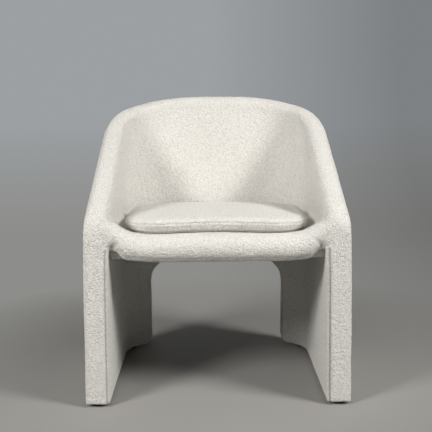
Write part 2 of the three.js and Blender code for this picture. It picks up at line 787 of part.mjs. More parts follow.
function seatBody(layer, tailAt) {
  const seatEnd = halfWidthAt(0);
  const places = [0, seatHalf - lipEndRun];
  for (const share of lipRingShares) places.push(seatHalf - lipEndRun + lipEndRun * share);
  places.push(seatEnd);
  const mirroredPlaces = places.slice(1).map((x) => -x).reverse();
  const rings = [...mirroredPlaces, ...places].map((x) => seatRing(x, layer, tailAt(lipUnder(x))));
  return loft(rings, flatAlongX);
}

function addSeat() {
  const room = tubInterior(railInset, [lipUnderside - overrun, deckHeight + overrun], -overrun);
  const rear = overallDepth;
  const skirt = railSetback - gap;
  const outer = seatBody(0, () => [
    [skirt - fabric, railBottom - fabric], [skirt, railBottom - fabric],
    [skirt, deckFoamBottom - gap], [rear, deckFoamBottom - gap],
  ]);
  const inner = seatBody(fabric, (under) => [
    [skirt + railClearance, under + fabric], [skirt + railClearance, railTop - strapWidth / 2],
    [rear + overrun, railTop - strapWidth / 2], [rear + overrun, deckHeight - fabric],
  ]);
  addPiece(seat, 'seat_cover', outer.subtract(inner).intersect(room), boucle);
  const body = seatBody(foamInset, (under) => [
    [skirt, under + foamInset], [skirt, deckFoamBottom], [rear, deckFoamBottom],
  ]);
  addPiece(seat, 'seat_foam', body.intersect(room), foam);
  const dustRoom = tubInterior(
    railInset + dustCoverMargin,
    [railBottom - gap - dustCoverThickness, railBottom - gap],
    railSetback + dustCoverMargin,
  );
  addPiece(seat, 'dust_cover', dustRoom, cambric);
}

// The cushion's outline from above, about its own middle: a rounded D with sides drawn in a little.
const cushionReach = (cushionBack - cushionFront) / 2;
function cushionOutline() {
  const front = -cushionReach;
  const back = cushionReach;
  const points = [];
  const corner = (cx, cy, radius, start) => {
    for (let i = 0; i <= cornerSteps; i++) {
      const turn = start + ((Math.PI / 2) * i) / cornerSteps;
      points.push([cx + radius * Math.cos(turn), cy + radius * Math.sin(turn)]);
    }
  };
  const frontX = cushionHalfWidth - cushionFrontCorner;
  const backX = cushionHalfWidth - cushionBackCorner;
  corner(backX, back - cushionBackCorner, cushionBackCorner, 0);
  points.push([0, back - cushionSideDraw]);
  corner(-backX, back - cushionBackCorner, cushionBackCorner, Math.PI / 2);
  points.push([-cushionHalfWidth + cushionSideDraw, 0]);
  corner(-frontX, front + cushionFrontCorner, cushionFrontCorner, Math.PI);
  points.push([0, front + cushionSideDraw]);
  corner(frontX, front + cushionFrontCorner, cushionFrontCorner, -Math.PI / 2);
  points.push([cushionHalfWidth - cushionSideDraw, 0]);
  return points;
}

// Rings of the cushion from its underside to its crown: how far in from the outline, and how high.
// The crown's shares are of the way from the top seam to the middle, and of the crown's height.
const crownShares = [[0.09, 0.3], [0.24, 0.62], [0.45, 0.86], [0.72, 0.98]];
function cushionForm(layer) {
  const outline = cushionOutline();
  const reach = cushionReach;
  const seam = cushionSeamDraw;
  const top = cushionBoxing - seam;
  const profile = [
    [reach / 2, 0], [reach / 6, 0], [2 * seam, 0], [seam, seam], [0, cushionBoxing / 4],
    [0, (3 * cushionBoxing) / 4], [seam, top],
  ];
  for (const [inShare, upShare] of crownShares)
    profile.push([reach * inShare + seam, top + (cushionBoxing - top + cushionCrown) * upShare]);
  const full = cushionBoxing + cushionCrown;
  const squeeze = (full - 2 * layer) / full;
  const rings = profile.map(([inset, z]) => {
    const shrink = 1 - (inset + layer) / reach;
    return outline.map(([x, y]) => new THREE.Vector3(x * shrink, y * shrink, layer + z * squeeze));
  });
  return loft(rings, flatAlongZ);
}

// A box on the zip's middle line: half length, width and heights above the cushion's underside.
const zipBox = (halfLength, width, height) =>
  box([-halfLength, halfLength], [-width / 2, width / 2], height);

function addCushion() {
  cushion.position.set(0, frontFace + cushionFront + cushionReach, cushionBase);
  const zip = new THREE.Group();
  zip.position.y = cushionReach - zipInset;
  cushion.add(zip);
  const atZip = (solid) => solid.translate([0, zip.position.y, 0]);
  const slot = zipBox(zipHalfLength, zipSlotWidth, [-overrun, 2 * cushionFabric]);
  const cover = cushionForm(0).subtract(cushionForm(cushionFabric)).subtract(atZip(slot));
  addPiece(cushion, 'cushion_cover', cover, boucle);
  const groove = zipBox(zipHalfLength + zipTapeWidth / 2, zipTapeWidth + 2 * gap, [0, zipGroove]);
  const pad = cushionForm(cushionFabric + gap).subtract(atZip(groove));
  addPiece(cushion, 'cushion_foam', pad, foam);
  const tapeLow = cushionFabric + gap;
  const chainLow = tapeLow - zipChainThickness;
  const tape = zipBox(zipHalfLength + gap, zipTapeWidth, [tapeLow, tapeLow + zipTapeThickness]);
  const chain = zipBox(zipHalfLength - gap, zipChainWidth, [chainLow, tapeLow + zipTapeThickness]);
  addPiece(zip, 'zip_tape', tape.add(chain), tapeCloth);
  const low = chainLow - gap - sliderWall;
  const shell = zipBox(sliderLength / 2, sliderWidth, [low, tapeLow - gap]);
  const channel = zipBox(sliderLength, zipChainWidth + 2 * gap, [chainLow - gap, tapeLow]);
  const pull = box([0, pullLength], [-pullWidth / 2, pullWidth / 2], [low, low + sliderWall]);
  addPiece(zip, 'zip_slider', shell.subtract(channel).add(pull), steel)
    .position.x = sliderLength - zipHalfLength;
}

function addBolts() {
  for (const { name, x, y, turn } of boltPlaces) {
    const body = solidOf(boltBody(0, boltLength)).add(solidOf(boltHead()));
    const bolt = addPiece(seat, `seat_bolt_${name}`, body, steel);
    bolt.position.set(x, y, railMiddle);
    bolt.rotation.z = turn;
  }
}

addShells();
addWallFoam();
addCovers();
addFeet();
addSeatFrame();
addBolts();
addWebbing();
addSeat();
addCushion();

export default chair;
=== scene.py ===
"""The looks of a tub chair: bouclé covers over its shells, a loose cushion, and its small parts.

Lengths are metres. x runs across the chair, y from its front to its back, z up from the floor.
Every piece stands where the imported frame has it, and moves with one of the frame's bodies.
"""

import json
import logging
import math
from collections.abc import Callable, Iterable
from dataclasses import dataclass, field
from enum import Enum

import bmesh
import bpy
from mathutils import Matrix, Vector, noise

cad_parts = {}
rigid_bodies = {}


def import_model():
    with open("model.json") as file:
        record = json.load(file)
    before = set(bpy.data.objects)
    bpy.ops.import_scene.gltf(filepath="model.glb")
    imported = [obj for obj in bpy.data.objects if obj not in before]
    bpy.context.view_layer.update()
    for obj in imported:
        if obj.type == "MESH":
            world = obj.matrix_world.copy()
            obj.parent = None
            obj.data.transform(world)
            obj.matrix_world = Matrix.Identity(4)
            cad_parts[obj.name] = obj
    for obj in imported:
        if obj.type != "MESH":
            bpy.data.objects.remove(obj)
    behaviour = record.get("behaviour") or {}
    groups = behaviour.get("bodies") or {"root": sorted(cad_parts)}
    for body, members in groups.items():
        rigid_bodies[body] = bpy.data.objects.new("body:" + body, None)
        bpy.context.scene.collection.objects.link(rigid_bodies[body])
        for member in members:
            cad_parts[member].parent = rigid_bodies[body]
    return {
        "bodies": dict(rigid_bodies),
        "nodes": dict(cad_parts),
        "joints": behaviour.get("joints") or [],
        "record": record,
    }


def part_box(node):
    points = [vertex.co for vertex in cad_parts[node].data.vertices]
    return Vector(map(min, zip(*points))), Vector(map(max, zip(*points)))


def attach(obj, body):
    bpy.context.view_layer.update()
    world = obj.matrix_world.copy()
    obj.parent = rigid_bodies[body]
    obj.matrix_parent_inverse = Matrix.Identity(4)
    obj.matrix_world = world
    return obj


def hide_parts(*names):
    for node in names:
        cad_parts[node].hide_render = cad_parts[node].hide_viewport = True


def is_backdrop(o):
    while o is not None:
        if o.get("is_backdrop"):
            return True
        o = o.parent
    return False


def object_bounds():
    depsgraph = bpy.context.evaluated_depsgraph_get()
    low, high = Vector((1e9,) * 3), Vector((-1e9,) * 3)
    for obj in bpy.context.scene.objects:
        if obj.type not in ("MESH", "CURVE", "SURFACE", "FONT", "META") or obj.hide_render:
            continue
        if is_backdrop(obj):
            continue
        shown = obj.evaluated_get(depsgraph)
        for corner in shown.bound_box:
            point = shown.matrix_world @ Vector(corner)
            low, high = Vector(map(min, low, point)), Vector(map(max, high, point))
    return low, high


LOG = logging.getLogger("tub_chair")
SIDES = ("left", "right")
# Vertex attribute that darkens the cloth: along dark seams, and as painted shade in the fold at the
# lip's ends, the hollow over the hem, the cushion's foot and its band.
SEAM_AND_SHADE = "seam"
MERGE_DISTANCE = 1e-6
SMOOTHING = 0.5


def clamp(value: float, low: float, high: float) -> float:
    """Keeps a value between two limits."""
    return max(low, min(high, value))


def smooth_step(value: float, start: float, end: float) -> float:
    """Rises smoothly from 0 at start to 1 at end."""
    share = clamp((value - start) / (end - start), 0, 1)
    return share * share * (3 - 2 * share)


def hill(distance: float, width: float) -> float:
    """A rounded hill: 1 at distance 0, and almost 0 at twice its width."""
    return math.exp(-((distance / width) ** 2))


def quarter(steps: int) -> list[float]:
    """The angles of a quarter round in even steps."""
    return [math.pi / 2 * i / steps for i in range(steps + 1)]


class Run(Enum):
    """The runs of half of the wall, from the front of a leg round to the middle of the back."""

    KNEE = "knee"
    ARM = "arm"
    CORNER = "corner"
    BACK = "back"


@dataclass(frozen=True)
class Station:
    """A place along the wall: its turn on a rounded run, or its share of a straight one."""

    run: Run
    turn: float = 0.0
    share: float = 0.0


@dataclass(frozen=True)
class WallForm:
    """The tub wall: its plan, its rim, its rear arch and the seams of its covers."""

    front: float
    bottom: float = 0.0082
    waist_half_width: float = 0.340
    foot_flare: float = 0.003
    arm_lean: float = math.radians(1.5)
    thickness: float = 0.062
    base_depth: float = 0.562
    waist_height: float = 0.300
    recline: float = math.radians(10)
    foot_inner_corner: float = 0.090
    tub_inner_corner: float = 0.155
    arm_front_height: float = 0.495
    arm_angle: float = math.radians(26.6)
    knee_radius: float = 0.060
    top_height: float = 0.790
    corner_drop: float = 0.053
    corner_drop_power: float = 2.8
    rim_blend: float = 0.012
    rim_radius: float = 0.027
    edge_radius: float = 0.010
    arch_half_width: float = 0.209
    arch_top: float = 0.286
    arch_corner: float = 0.075
    arch_foot: float = 0.020
    deck_height: float = 0.446
    back_seam_setback: float = 0.067
    back_seam_angle: float = math.radians(9.2)
    rim_lap: float = 0.030
    leg_seam_inset: float = 0.006
    outer_back_inset: float = 0.015
    settle_passes: int = 6

    def below_waist(self, z: float) -> float:
        """How far down a height lies between the waist, 0, and the floor, 1."""
        return max(0.0, 1 - z / self.waist_height)

    def half_width(self, z: float) -> float:
        """Half of the chair's width at a height."""
        lean = max(0.0, z - self.waist_height) * math.tan(self.arm_lean)
        return self.waist_half_width + self.foot_flare * self.below_waist(z) - lean

    def back(self, z: float) -> float:
        """y of the outer face of the back at a height."""
        lean = max(0.0, z - self.waist_height) * math.tan(self.recline)
        return self.front + self.base_depth + lean

    def corner(self, z: float) -> float:
        """Outer radius of the rear corners at a height."""
        growth = (self.foot_inner_corner - self.tub_inner_corner) * self.below_waist(z)
        return self.thickness + self.tub_inner_corner + growth

    def inset(self, point: Vector) -> float:
        """How far a point lies inside the wall's outer face, seen from above.

        Args:
            point: the point.

        Returns:
            The distance, below 0 outside the wall.
        """
        corner = self.corner(point.z)
        across = abs(point.x) - self.half_width(point.z) + corner
        behind = point.y - self.back(point.z) + corner
        if across > 0 and behind > 0:
            return corner - math.hypot(across, behind)
        return corner - max(across, behind)

    def seat_half_width(self) -> float:
        """Half of the seat's width between the arms."""
        return self.half_width(self.deck_height) - self.thickness

    def back_seam(self, z: float) -> float:
        """x of the seams beside the back at a height."""
        rise = (z - self.deck_height) * math.tan(self.back_seam_angle)
        return self.seat_half_width() - self.back_seam_setback + rise

    def outer_seam(self, z: float) -> float:
        """x of the seams beside the outside back cover at a height.

        Args:
            z: the height.

        Returns:
            x of the right one.
        """
        corner = self.corner(z)
        reach = math.sqrt(corner**2 - (corner - self.outer_back_inset) ** 2)
        return self.half_width(z) - corner + reach

    def back_arch(self, x: float, inset: float = 0.0) -> float:
        """Height of the back's arched rim at x."""
        reach = abs(x) / (self.waist_half_width - self.thickness / 2)
        return self.top_height - inset - self.corner_drop * reach**self.corner_drop_power

    def rim_height(self, x: float, y: float) -> float:
        """Height of the rim over a point: the arm's rising line blended into the back's arch.

        Args:
            x: how far to the right the point lies.
            y: how far back it lies.

        Returns:
            The height.
        """
        arm = self.arm_front_height + (y - self.front) * math.tan(self.arm_angle)
        back = self.back_arch(x)
        nearness = max(0.0, 1 - abs(arm - back) / self.rim_blend)
        return min(arm, back) - self.rim_blend * nearness**2 / 4

    def knee_turn(self) -> float:
        """The angle that a knee turns through, from upright to the arm's line."""
        return math.pi / 2 - self.arm_angle

    def knee_depth(self, turn: float) -> float:
        """Distance behind the front face at a turn of the knee."""
        return self.knee_radius * (1 - math.cos(turn))

    def plan_point(self, station: Station, z: float, inset: float) -> tuple[float, float]:
        """x and y of the wall at a station of its right half, a height and an inset.

        Args:
            station: the place along the wall.
            z: the height.
            inset: how far inside the outer face the point lies.

        Returns:
            x and y of the point.
        """
        centre_x = self.half_width(z) - self.corner(z)
        centre_y = self.back(z) - self.corner(z)
        radius = self.corner(z) - inset
        if station.run is Run.KNEE:
            return self.half_width(z) - inset, self.front + self.knee_depth(station.turn)
        if station.run is Run.ARM:
            start = self.front + self.knee_depth(self.knee_turn())
            return self.half_width(z) - inset, start + (centre_y - start) * station.share
        if station.run is Run.CORNER:
            reach_x, reach_y = math.cos(station.turn), math.sin(station.turn)
            return centre_x + radius * reach_x, centre_y + radius * reach_y
        return centre_x * (1 - station.share), centre_y + radius

    def rim_top(self, station: Station) -> float:
        """Height of the rim at a station.

        Args:
            station: the place along the wall.

        Returns:
            The height.
        """
        if station.run is Run.KNEE:
            slope = self.knee_radius * (math.tan(self.arm_angle) - 1 / math.cos(self.arm_angle))
            return self.arm_front_height + slope + self.knee_radius * math.sin(station.turn)
        height = self.top_height
        for _ in range(self.settle_passes):
            x, y = self.plan_point(station, height, self.thickness / 2)
            height = self.rim_height(x, y)
        return height

    def section(self, station: Station, rim_steps: int) -> list[Vector]:
        """One closed section of the wall: inner face, rounded rim and outer face.

        Args:
            station: where along the right half of the wall the section is taken.
            rim_steps: steps in each of the rim's two quarter rounds.

        Returns:
            The section's points, from the foot of the inner face to the foot of the outer one.
        """
        run = self.knee_depth(station.turn) if station.run is Run.KNEE else self.edge_radius
        short = clamp(self.edge_radius - run, 0, self.edge_radius)
        pinch = self.edge_radius - math.sqrt(self.edge_radius**2 - short**2)
        top = self.rim_top(station)
        radius = self.rim_radius - pinch
        inner = self.thickness - pinch
        profile = [(inner, self.bottom), (inner, self.waist_height)]
        rounded = [
            (radius * (1 - math.cos(turn)), top - radius * (1 - math.sin(turn)))
            for turn in quarter(rim_steps)
        ]
        profile += [(inner - away, z) for away, z in rounded]
        profile += [(pinch + away, z) for away, z in reversed(rounded)]
        profile += [(pinch, self.waist_height), (pinch, self.bottom)]
        return [Vector((*self.plan_point(station, z, inset), z)) for inset, z in profile]

    def arch_outline(self, steps: int) -> list[tuple[float, float]]:
        """x and z round the rear arch, from the floor on the right over its top to the left.

        Args:
            steps: steps in each of its rounds.

        Returns:
            The points of the outline.
        """
        foot = (self.arch_half_width + self.arch_foot, self.bottom + self.arch_foot)
        top = (self.arch_half_width - self.arch_corner, self.arch_top - self.arch_corner)
        side = [(foot[0], -self.arch_foot)]
        side += [
            (foot[0] - self.arch_foot * math.sin(turn), foot[1] - self.arch_foot * math.cos(turn))
            for turn in quarter(steps)
        ]
        side += [
            (top[0] + self.arch_corner * math.cos(turn), top[1] + self.arch_corner * math.sin(turn))
            for turn in quarter(steps)
        ]
        return side + [(-x, z) for x, z in reversed(side)]


@dataclass(frozen=True)
class SeatForm:
    """The seat between the arms: a softly crowned deck with a rolled front lip.

    The lip's ends rise into pockets, and the deck rises in a fillet to each arm, its saddle.
    """

    wall: WallForm
    underside: float = 0.3740
    lip_setback: float = 0.004
    lip_radius: float = 0.035
    end_run: float = 0.150
    end_rise: float = 0.012
    end_power: float = 2.0
    pocket_start: float = 0.041
    pocket_end: float = 0.016
    pocket_rise: float = 0.0195
    deck_crown: float = 0.0065
    crown_half_width: float = 0.24
    crown_depth: tuple[float, float] = (0.12, 0.36)
    deck_sink: float = 0.0085
    deck_steps: int = 9
    saddle_radius: float = 0.046
    saddle_growth: float = 0.058
    saddle_front: tuple[float, float] = (0.045, 0.135)
    saddle_fade: tuple[float, float] = (0.30, 0.44)
    deck_start: float = 0.060
    skirt_depth: float = 0.0495
    deck_underside: float = 0.4124
    end_lap: float = 0.012

    def under(self, x: float) -> float:
        """Height of the lip's underside at x.

        Args:
            x: how far to the right of the middle.

        Returns:
            The height.
        """
        end = self.wall.seat_half_width()
        share = max(0.0, (abs(x) - end + self.end_run) / self.end_run)
        pocket = smooth_step(abs(x), end - self.pocket_start, end - self.pocket_end)
        return self.underside + self.end_rise * share**self.end_power + self.pocket_rise * pocket

    def crown(self, x: float, depth: float) -> float:
        """How much the deck stands up in its middle, at x and some way behind the front."""
        across = max(0.0, 1 - (x / self.crown_half_width) ** 2)
        return self.deck_crown * across * (1 - smooth_step(depth, *self.crown_depth))

    def top(self, x: float, depth: float) -> float:
        """Height of the deck at x, some way behind the chair's front.

        Args:
            x: how far to the right of the middle.
            depth: how far behind the chair's front.

        Returns:
            The height.
        """
        radius = self.saddle_radius
        radius += self.saddle_growth * (1 - smooth_step(depth, *self.saddle_front))
        reach = max(0.0, abs(x) - self.wall.seat_half_width() + radius)
        fade = 1 - smooth_step(depth, *self.saddle_fade)
        rise = self.crown(x, depth) + fade * reach**2 / (2 * radius)
        return self.wall.deck_height - self.deck_sink + rise

    def rear(self, x: float) -> float:
        """How far behind the chair's front the seat ends at x, in the middle of the wall.

        Args:
            x: how far to the right of the middle.

        Returns:
            The distance.
        """
        wall = self.wall
        height = wall.deck_height
        corner = wall.corner(height)
        across = max(0.0, abs(x) - wall.half_width(height) + corner)
        reach = math.sqrt((corner - wall.thickness / 2) ** 2 - across**2)
        return wall.back(height) - corner + reach - wall.front

    def section(self, x: float, lip_steps: int) -> list[Vector]:
        """The seat's closed section at x: deck, rolled lip, its turned-in underside and the skirt.

        Args:
            x: where the section is taken.
            lip_steps: steps round the lip.

        Returns:
            The points of the section.
        """
        centre = self.lip_setback + self.lip_radius
        high, low = self.top(x, centre), self.under(x)
        rear = self.rear(x)
        step = (rear - self.deck_start) / self.deck_steps
        depths = [rear - step * i for i in range(self.deck_steps + 1)]
        ring = [(depth, self.top(x, depth)) for depth in depths]
        for i in range(lip_steps + 1):
            turn = math.pi * i / lip_steps
            rise = (high - low) / 2 * math.cos(turn)
            ring.append((centre - self.lip_radius * math.sin(turn), (high + low) / 2 + rise))
        ring += [
            (self.skirt_depth, low), (self.skirt_depth, self.deck_underside),
            (rear, self.deck_underside),
        ]
        return [Vector((x, self.wall.front + depth, z)) for depth, z in ring]


def mapped_grid(columns: int, rows: int, place: Callable[[int, int], Vector]) -> bmesh.types.BMesh:
    """Makes a grid and puts each of its points where a formula says.

    Args:
        columns: steps along the grid.
        rows: steps across it.
        place: the point for a column and a row, both counted from 0.

    Returns:
        The new mesh, with points that fall together merged.
    """
    bm = bmesh.new()
    bmesh.ops.create_grid(bm, x_segments=columns, y_segments=rows, size=1)
    for vert in bm.verts:
        column = round((vert.co.x + 1) / 2 * columns)
        row = round((vert.co.y + 1) / 2 * rows)
        vert.co = place(column, row)
    bmesh.ops.remove_doubles(bm, verts=bm.verts, dist=MERGE_DISTANCE)
    return bm


def lofted(sections: list[list[Vector]]) -> bmesh.types.BMesh:
    """Lofts closed sections into a body whose ends are closed and whose faces point outwards.

    Args:
        sections: the sections in order, each with the same number of points.

    Returns:
        The new mesh.
    """
    count = len(sections[0])
    body = mapped_grid(len(sections) - 1, count, lambda i, j: sections[i][j % count])
    bmesh.ops.holes_fill(body, edges=[edge for edge in body.edges if edge.is_boundary])
    bmesh.ops.recalc_face_normals(body, faces=body.faces)
    return body


def as_object(bm: bmesh.types.BMesh, name: str) -> bpy.types.Object:
    """Makes an object of a mesh, linked to the scene, and frees the mesh.

    Args:
        bm: the mesh.
        name: the object's name.

    Returns:
        The object.
    """
    mesh = bpy.data.meshes.new(name)
    bm.to_mesh(mesh)
    bm.free()
    piece = bpy.data.objects.new(name, mesh)
    bpy.context.scene.collection.objects.link(piece)
    return piece


def smoothed(bm: bmesh.types.BMesh, name: str) -> bpy.types.Object:
    """Makes an object of a finished mesh and shades all of its faces smooth.

    Args:
        bm: the mesh, which is freed.
        name: the object's name.

    Returns:
        The object.
    """
    for face in bm.faces:
        face.smooth = True
    return as_object(bm, name)


def baked(piece: bpy.types.Object) -> bmesh.types.BMesh:
    """Takes an object's mesh with its modifiers applied, and removes the object.

    Args:
        piece: the object.

    Returns:
        The mesh.
    """
    graph = bpy.context.evaluated_depsgraph_get()
    mesh = bpy.data.meshes.new_from_object(piece.evaluated_get(graph))
    bm = bmesh.new()
    bm.from_mesh(mesh)
    old = piece.data
    bpy.data.objects.remove(piece)
    bpy.data.meshes.remove(old)
    bpy.data.meshes.remove(mesh)
    return bm


def remeshed(bm: bmesh.types.BMesh, cell: float) -> bmesh.types.BMesh:
    """Gives a closed mesh an even skin of square faces, joining bodies that run into each other.

    Args:
        bm: the mesh, which is freed.
        cell: the width of a face.

    Returns:
        The new skin.
    """
    block = as_object(bm, "remesh")
    modifier = block.modifiers.new("remesh", "REMESH")
    modifier.mode = "VOXEL"
    modifier.voxel_size = cell
    return baked(block)


def relax(bm: bmesh.types.BMesh, passes: int, weight: Callable[[Vector], float]) -> None:
    """Smooths a mesh where a weight says so.

    Args:
        bm: the mesh.
        passes: how often a point of weight 1 is smoothed.
        weight: 0 to 1 for a point.
    """
    counts = [(round(passes * weight(vert.co)), vert) for vert in bm.verts]
    for done in range(passes):
        verts = [vert for count, vert in counts if count > done]
        if verts:
            bmesh.ops.smooth_vert(
                bm, verts=verts, factor=SMOOTHING, use_axis_x=True, use_axis_y=True,
                use_axis_z=True)


class Panel(Enum):
    """The covers that the chair's skin is sewn from. Each value is its piece's name."""

    ARM_LEFT = "arm_upholstery_left"
    ARM_RIGHT = "arm_upholstery_right"
    LEG_LEFT = "leg_upholstery_left"
    LEG_RIGHT = "leg_upholstery_right"
    INSIDE_BACK = "inside_back_upholstery"
    OUTSIDE_BACK = "outside_back_upholstery"
    SEAT = "seat_upholstery"

    def node(self) -> str:
        """The frame's node that the cover stands for."""
        return self.value.replace("upholstery", "cover")


class Seam(Enum):
    """The seams between the covers. Each value is how strongly the seam is drawn in and shades."""

    LEG = 1.0
    ARCH = 0.80
    SIDE = 0.75
    RIM = 0.60
    BACK = 0.28
    SEAT = 0.0


@dataclass(frozen=True)
class Pile:
    """The looped pile of the cloth, as far as its mesh carries it: nubs, clumps and slow waves."""

    nub_size: float = 0.0052
    nub_height: float = 0.0007
    clump_size: float = 0.013
    clump_height: float = 0.0006
    wave_size: float = 0.11
    wave_height: float = 0.0008

    def height(self, point: Vector) -> float:
        """How far the cloth stands out at a point.

        Args:
            point: the point.

        Returns:
            The height of the pile.
        """
        nub = self.nub_height * noise.noise(point / self.nub_size)
        clump = self.clump_height * noise.noise(point / self.clump_size)
        return nub + clump + self.wave_height * noise.noise(point / self.wave_size)


@dataclass
class Upholstery:
    """The covers of the wall and the seat, made as one skin and cut along their seams.

    snap_cells and run_on_cells count cells of the skin, swell_place and swell_width count widths
    of a seam, and hem_hollow counts widths of the hem.
    """

    wall: WallForm
    seat: SeatForm
    pile: Pile = field(default_factory=Pile)
    cell: float = 0.0031
    rim_steps: int = 7
    arch_steps: int = 10
    lip_steps: int = 16
    end_steps: int = 16
    even_passes: int = 2
    blend_passes: int = 34
    blend_width: float = 0.024
    blend_start: tuple[float, float] = (0.408, 0.424)
    blend_end: tuple[float, float] = (0.478, 0.505)
    blend_fade: tuple[float, float] = (0.26, 0.42)
    edge_passes: int = 8
    edge_width: float = 0.011
    hidden_slope: float = -0.6
    snap_cells: float = 1.5
    run_on_cells: float = 2.0
    probe: float = 0.0004
    least_slope: float = 0.3
    seam_width: float = 0.0026
    seam_depth: float = 0.0019
    seam_swell: float = 0.0007
    swell_place: float = 3.0
    swell_width: float = 2.0
    seat_seam: float = 0.067
    tuck: float = 0.0028
    hem_height: float = 0.0055
    hem_width: float = 0.0030
    hem_rise: float = 0.0006
    hem_hollow: float = 2.4
    hem_shade: float = 0.12
    fold_start: Vector = field(default_factory=lambda: Vector((0.236, 0.442)))
    fold_end: Vector = field(default_factory=lambda: Vector((0.2630, 0.4195)))
    fold_width: float = 0.0062
    fold_depth: float = 0.0034
    fold_shade: float = 0.42

    def stations(self) -> list[Station]:
        """Stations along half of the wall, close together over the rounded front edge.

        Returns:
            The stations in order.
        """
        edge_steps, knee_steps, arm_steps, corner_steps, back_steps = 6, 8, 10, 18, 6
        wall = self.wall
        edge_turn = math.acos(1 - wall.edge_radius / wall.knee_radius)
        stations = []
        for turn in quarter(edge_steps):
            depth = wall.edge_radius * (1 - math.cos(turn))
            stations.append(Station(Run.KNEE, math.acos(1 - depth / wall.knee_radius)))
        rest = wall.knee_turn() - edge_turn
        for i in range(1, knee_steps + 1):
            stations.append(Station(Run.KNEE, edge_turn + rest * i / knee_steps))
        stations += [Station(Run.ARM, share=i / arm_steps) for i in range(1, arm_steps + 1)]
        stations += [Station(Run.CORNER, turn) for turn in quarter(corner_steps)[1:]]
        stations += [Station(Run.BACK, share=i / back_steps) for i in range(1, back_steps + 1)]
        return stations

    def wall_body(self) -> bmesh.types.BMesh:
        """Lofts the whole wall as a closed body and cuts the rear arch out of it.

        Returns:
            The wall's mesh.
        """
        right = [self.wall.section(station, self.rim_steps) for station in self.stations()]
        left = [[Vector((-p.x, p.y, p.z)) for p in section] for section in reversed(right[:-1])]
        block = as_object(lofted(right + left), "wall_block")
        cutter = self.arch_cutter()
        cut = block.modifiers.new("arch", "BOOLEAN")
        cut.operation = "DIFFERENCE"
        cut.solver = "EXACT"
        cut.object = cutter
        carved = baked(block)
        bpy.data.objects.remove(cutter)
        return carved

    def arch_cutter(self) -> bpy.types.Object:
        """Makes the block that the rear arch is cut with.

        Returns:
            The block's object.
        """
        bm = bmesh.new()
        outline = self.wall.arch_outline(self.arch_steps)
        face = bm.faces.new([bm.verts.new((x, 0, z)) for x, z in outline])
        swept = bmesh.ops.extrude_face_region(bm, geom=[face])["geom"]
        behind = Vector((0, 2 * self.wall.base_depth, 0))
        moved = [item for item in swept if isinstance(item, bmesh.types.BMVert)]
        bmesh.ops.translate(bm, verts=moved, vec=behind)
        bmesh.ops.recalc_face_normals(bm, faces=bm.faces)
        return as_object(bm, "arch_cutter")

    def seat_body(self) -> bmesh.types.BMesh:
        """Lofts the seat from arm to arm as a closed body.

        Returns:
            The seat's mesh.
        """
        end = self.wall.seat_half_width() + self.seat.end_lap
        flat = self.wall.seat_half_width() - self.seat.end_run
        steps = self.end_steps
        right = [0.0] + [flat + (end - flat) * i / steps for i in range(steps + 1)]
        places = [-x for x in reversed(right[1:])] + right
        return lofted([self.seat.section(x, self.lip_steps) for x in places])

    def skin(self) -> bmesh.types.BMesh:
        """Joins wall and seat into one even skin and rounds it as cloth over foam is.

        Returns:
            The skin, open under the deck.
        """
        both = self.wall_body()
        seat = as_object(self.seat_body(), "seat_block")
        both.from_mesh(seat.data)
        bpy.data.objects.remove(seat)
        skin = remeshed(both, self.cell)
        relax(skin, self.even_passes, lambda point: 1.0)
        relax(skin, self.blend_passes, self.blend_weight)
        relax(skin, self.edge_passes, self.arch_weight)
        hidden = [face for face in skin.faces if self.is_hidden(face)]
        bmesh.ops.delete(skin, geom=hidden, context="FACES")
        return skin

    def blend_weight(self, point: Vector) -> float:
        """How much the seat's end and the arm flow together at a point.

        Args:
            point: the point.

        Returns:
            A share from 0 to 1.
        """
        depth = point.y - self.wall.front
        near = hill(self.wall.inset(point) - self.wall.thickness, self.blend_width)
        below = 1 - smooth_step(point.z, *self.blend_end)
        band = smooth_step(point.z, *self.blend_start) * below
        return near * band * (1 - smooth_step(depth, *self.blend_fade))

    def arch_weight(self, point: Vector) -> float:
        """How much a point is rounded over as an edge of the rear arch or of a panel's foot.

        Args:
            point: the point.

        Returns:
            A share from 0 to 1.
        """
        wall = self.wall
        across = abs(point.x) - wall.arch_half_width + wall.arch_corner
        above = point.z - wall.arch_top + wall.arch_corner
        if point.y < 0:
            return 0.0
        if across > 0 and above > 0:
            away = math.hypot(across, above) - wall.arch_corner
        else:
            away = max(across, above) - wall.arch_corner
        return hill(away, self.edge_width)

    def is_hidden(self, face: bmesh.types.BMFace) -> bool:
        """Whether a face lies under the deck's frame, where the chair is open.

        Args:
            face: a face of the skin.

        Returns:
            True where it does.
        """
        if face.normal.z > self.hidden_slope:
            return False
        centre = face.calc_center_median()
        under_deck = abs(centre.z - self.seat.deck_underside) < self.cell
        inside = self.wall.inset(centre) > self.wall.thickness
        behind_lip = centre.y - self.wall.front > self.seat.skirt_depth - self.cell
        return under_deck and inside and behind_lip

    def panel_at(self, point: Vector) -> Panel:
        """The cover that a point of the skin belongs to.

        Args:
            point: the point.

        Returns:
            The cover.
        """
        inset = self.wall.inset(point)
        right = point.x > 0
        if inset > self.seat_seam and point.z > self.seat.underside - self.cell:
            return Panel.SEAT
        if point.y > 0 and abs(point.x) < self.wall.back_seam(point.z):
            low = point.z < self.wall.arch_top + self.cell
            outer = inset < (self.wall.outer_back_inset if low else self.wall.thickness / 2)
            between = abs(point.x) < self.wall.outer_seam(point.z)
            below_rim = point.z < self.wall.back_arch(point.x, self.wall.rim_lap)
            outside = outer and between and below_rim
            return Panel.OUTSIDE_BACK if outside else Panel.INSIDE_BACK
        inner = inset > self.wall.thickness - self.wall.leg_seam_inset
        if inner and point.z < self.seat.deck_underside + self.cell:
            return Panel.LEG_RIGHT if right else Panel.LEG_LEFT
        return Panel.ARM_RIGHT if right else Panel.ARM_LEFT

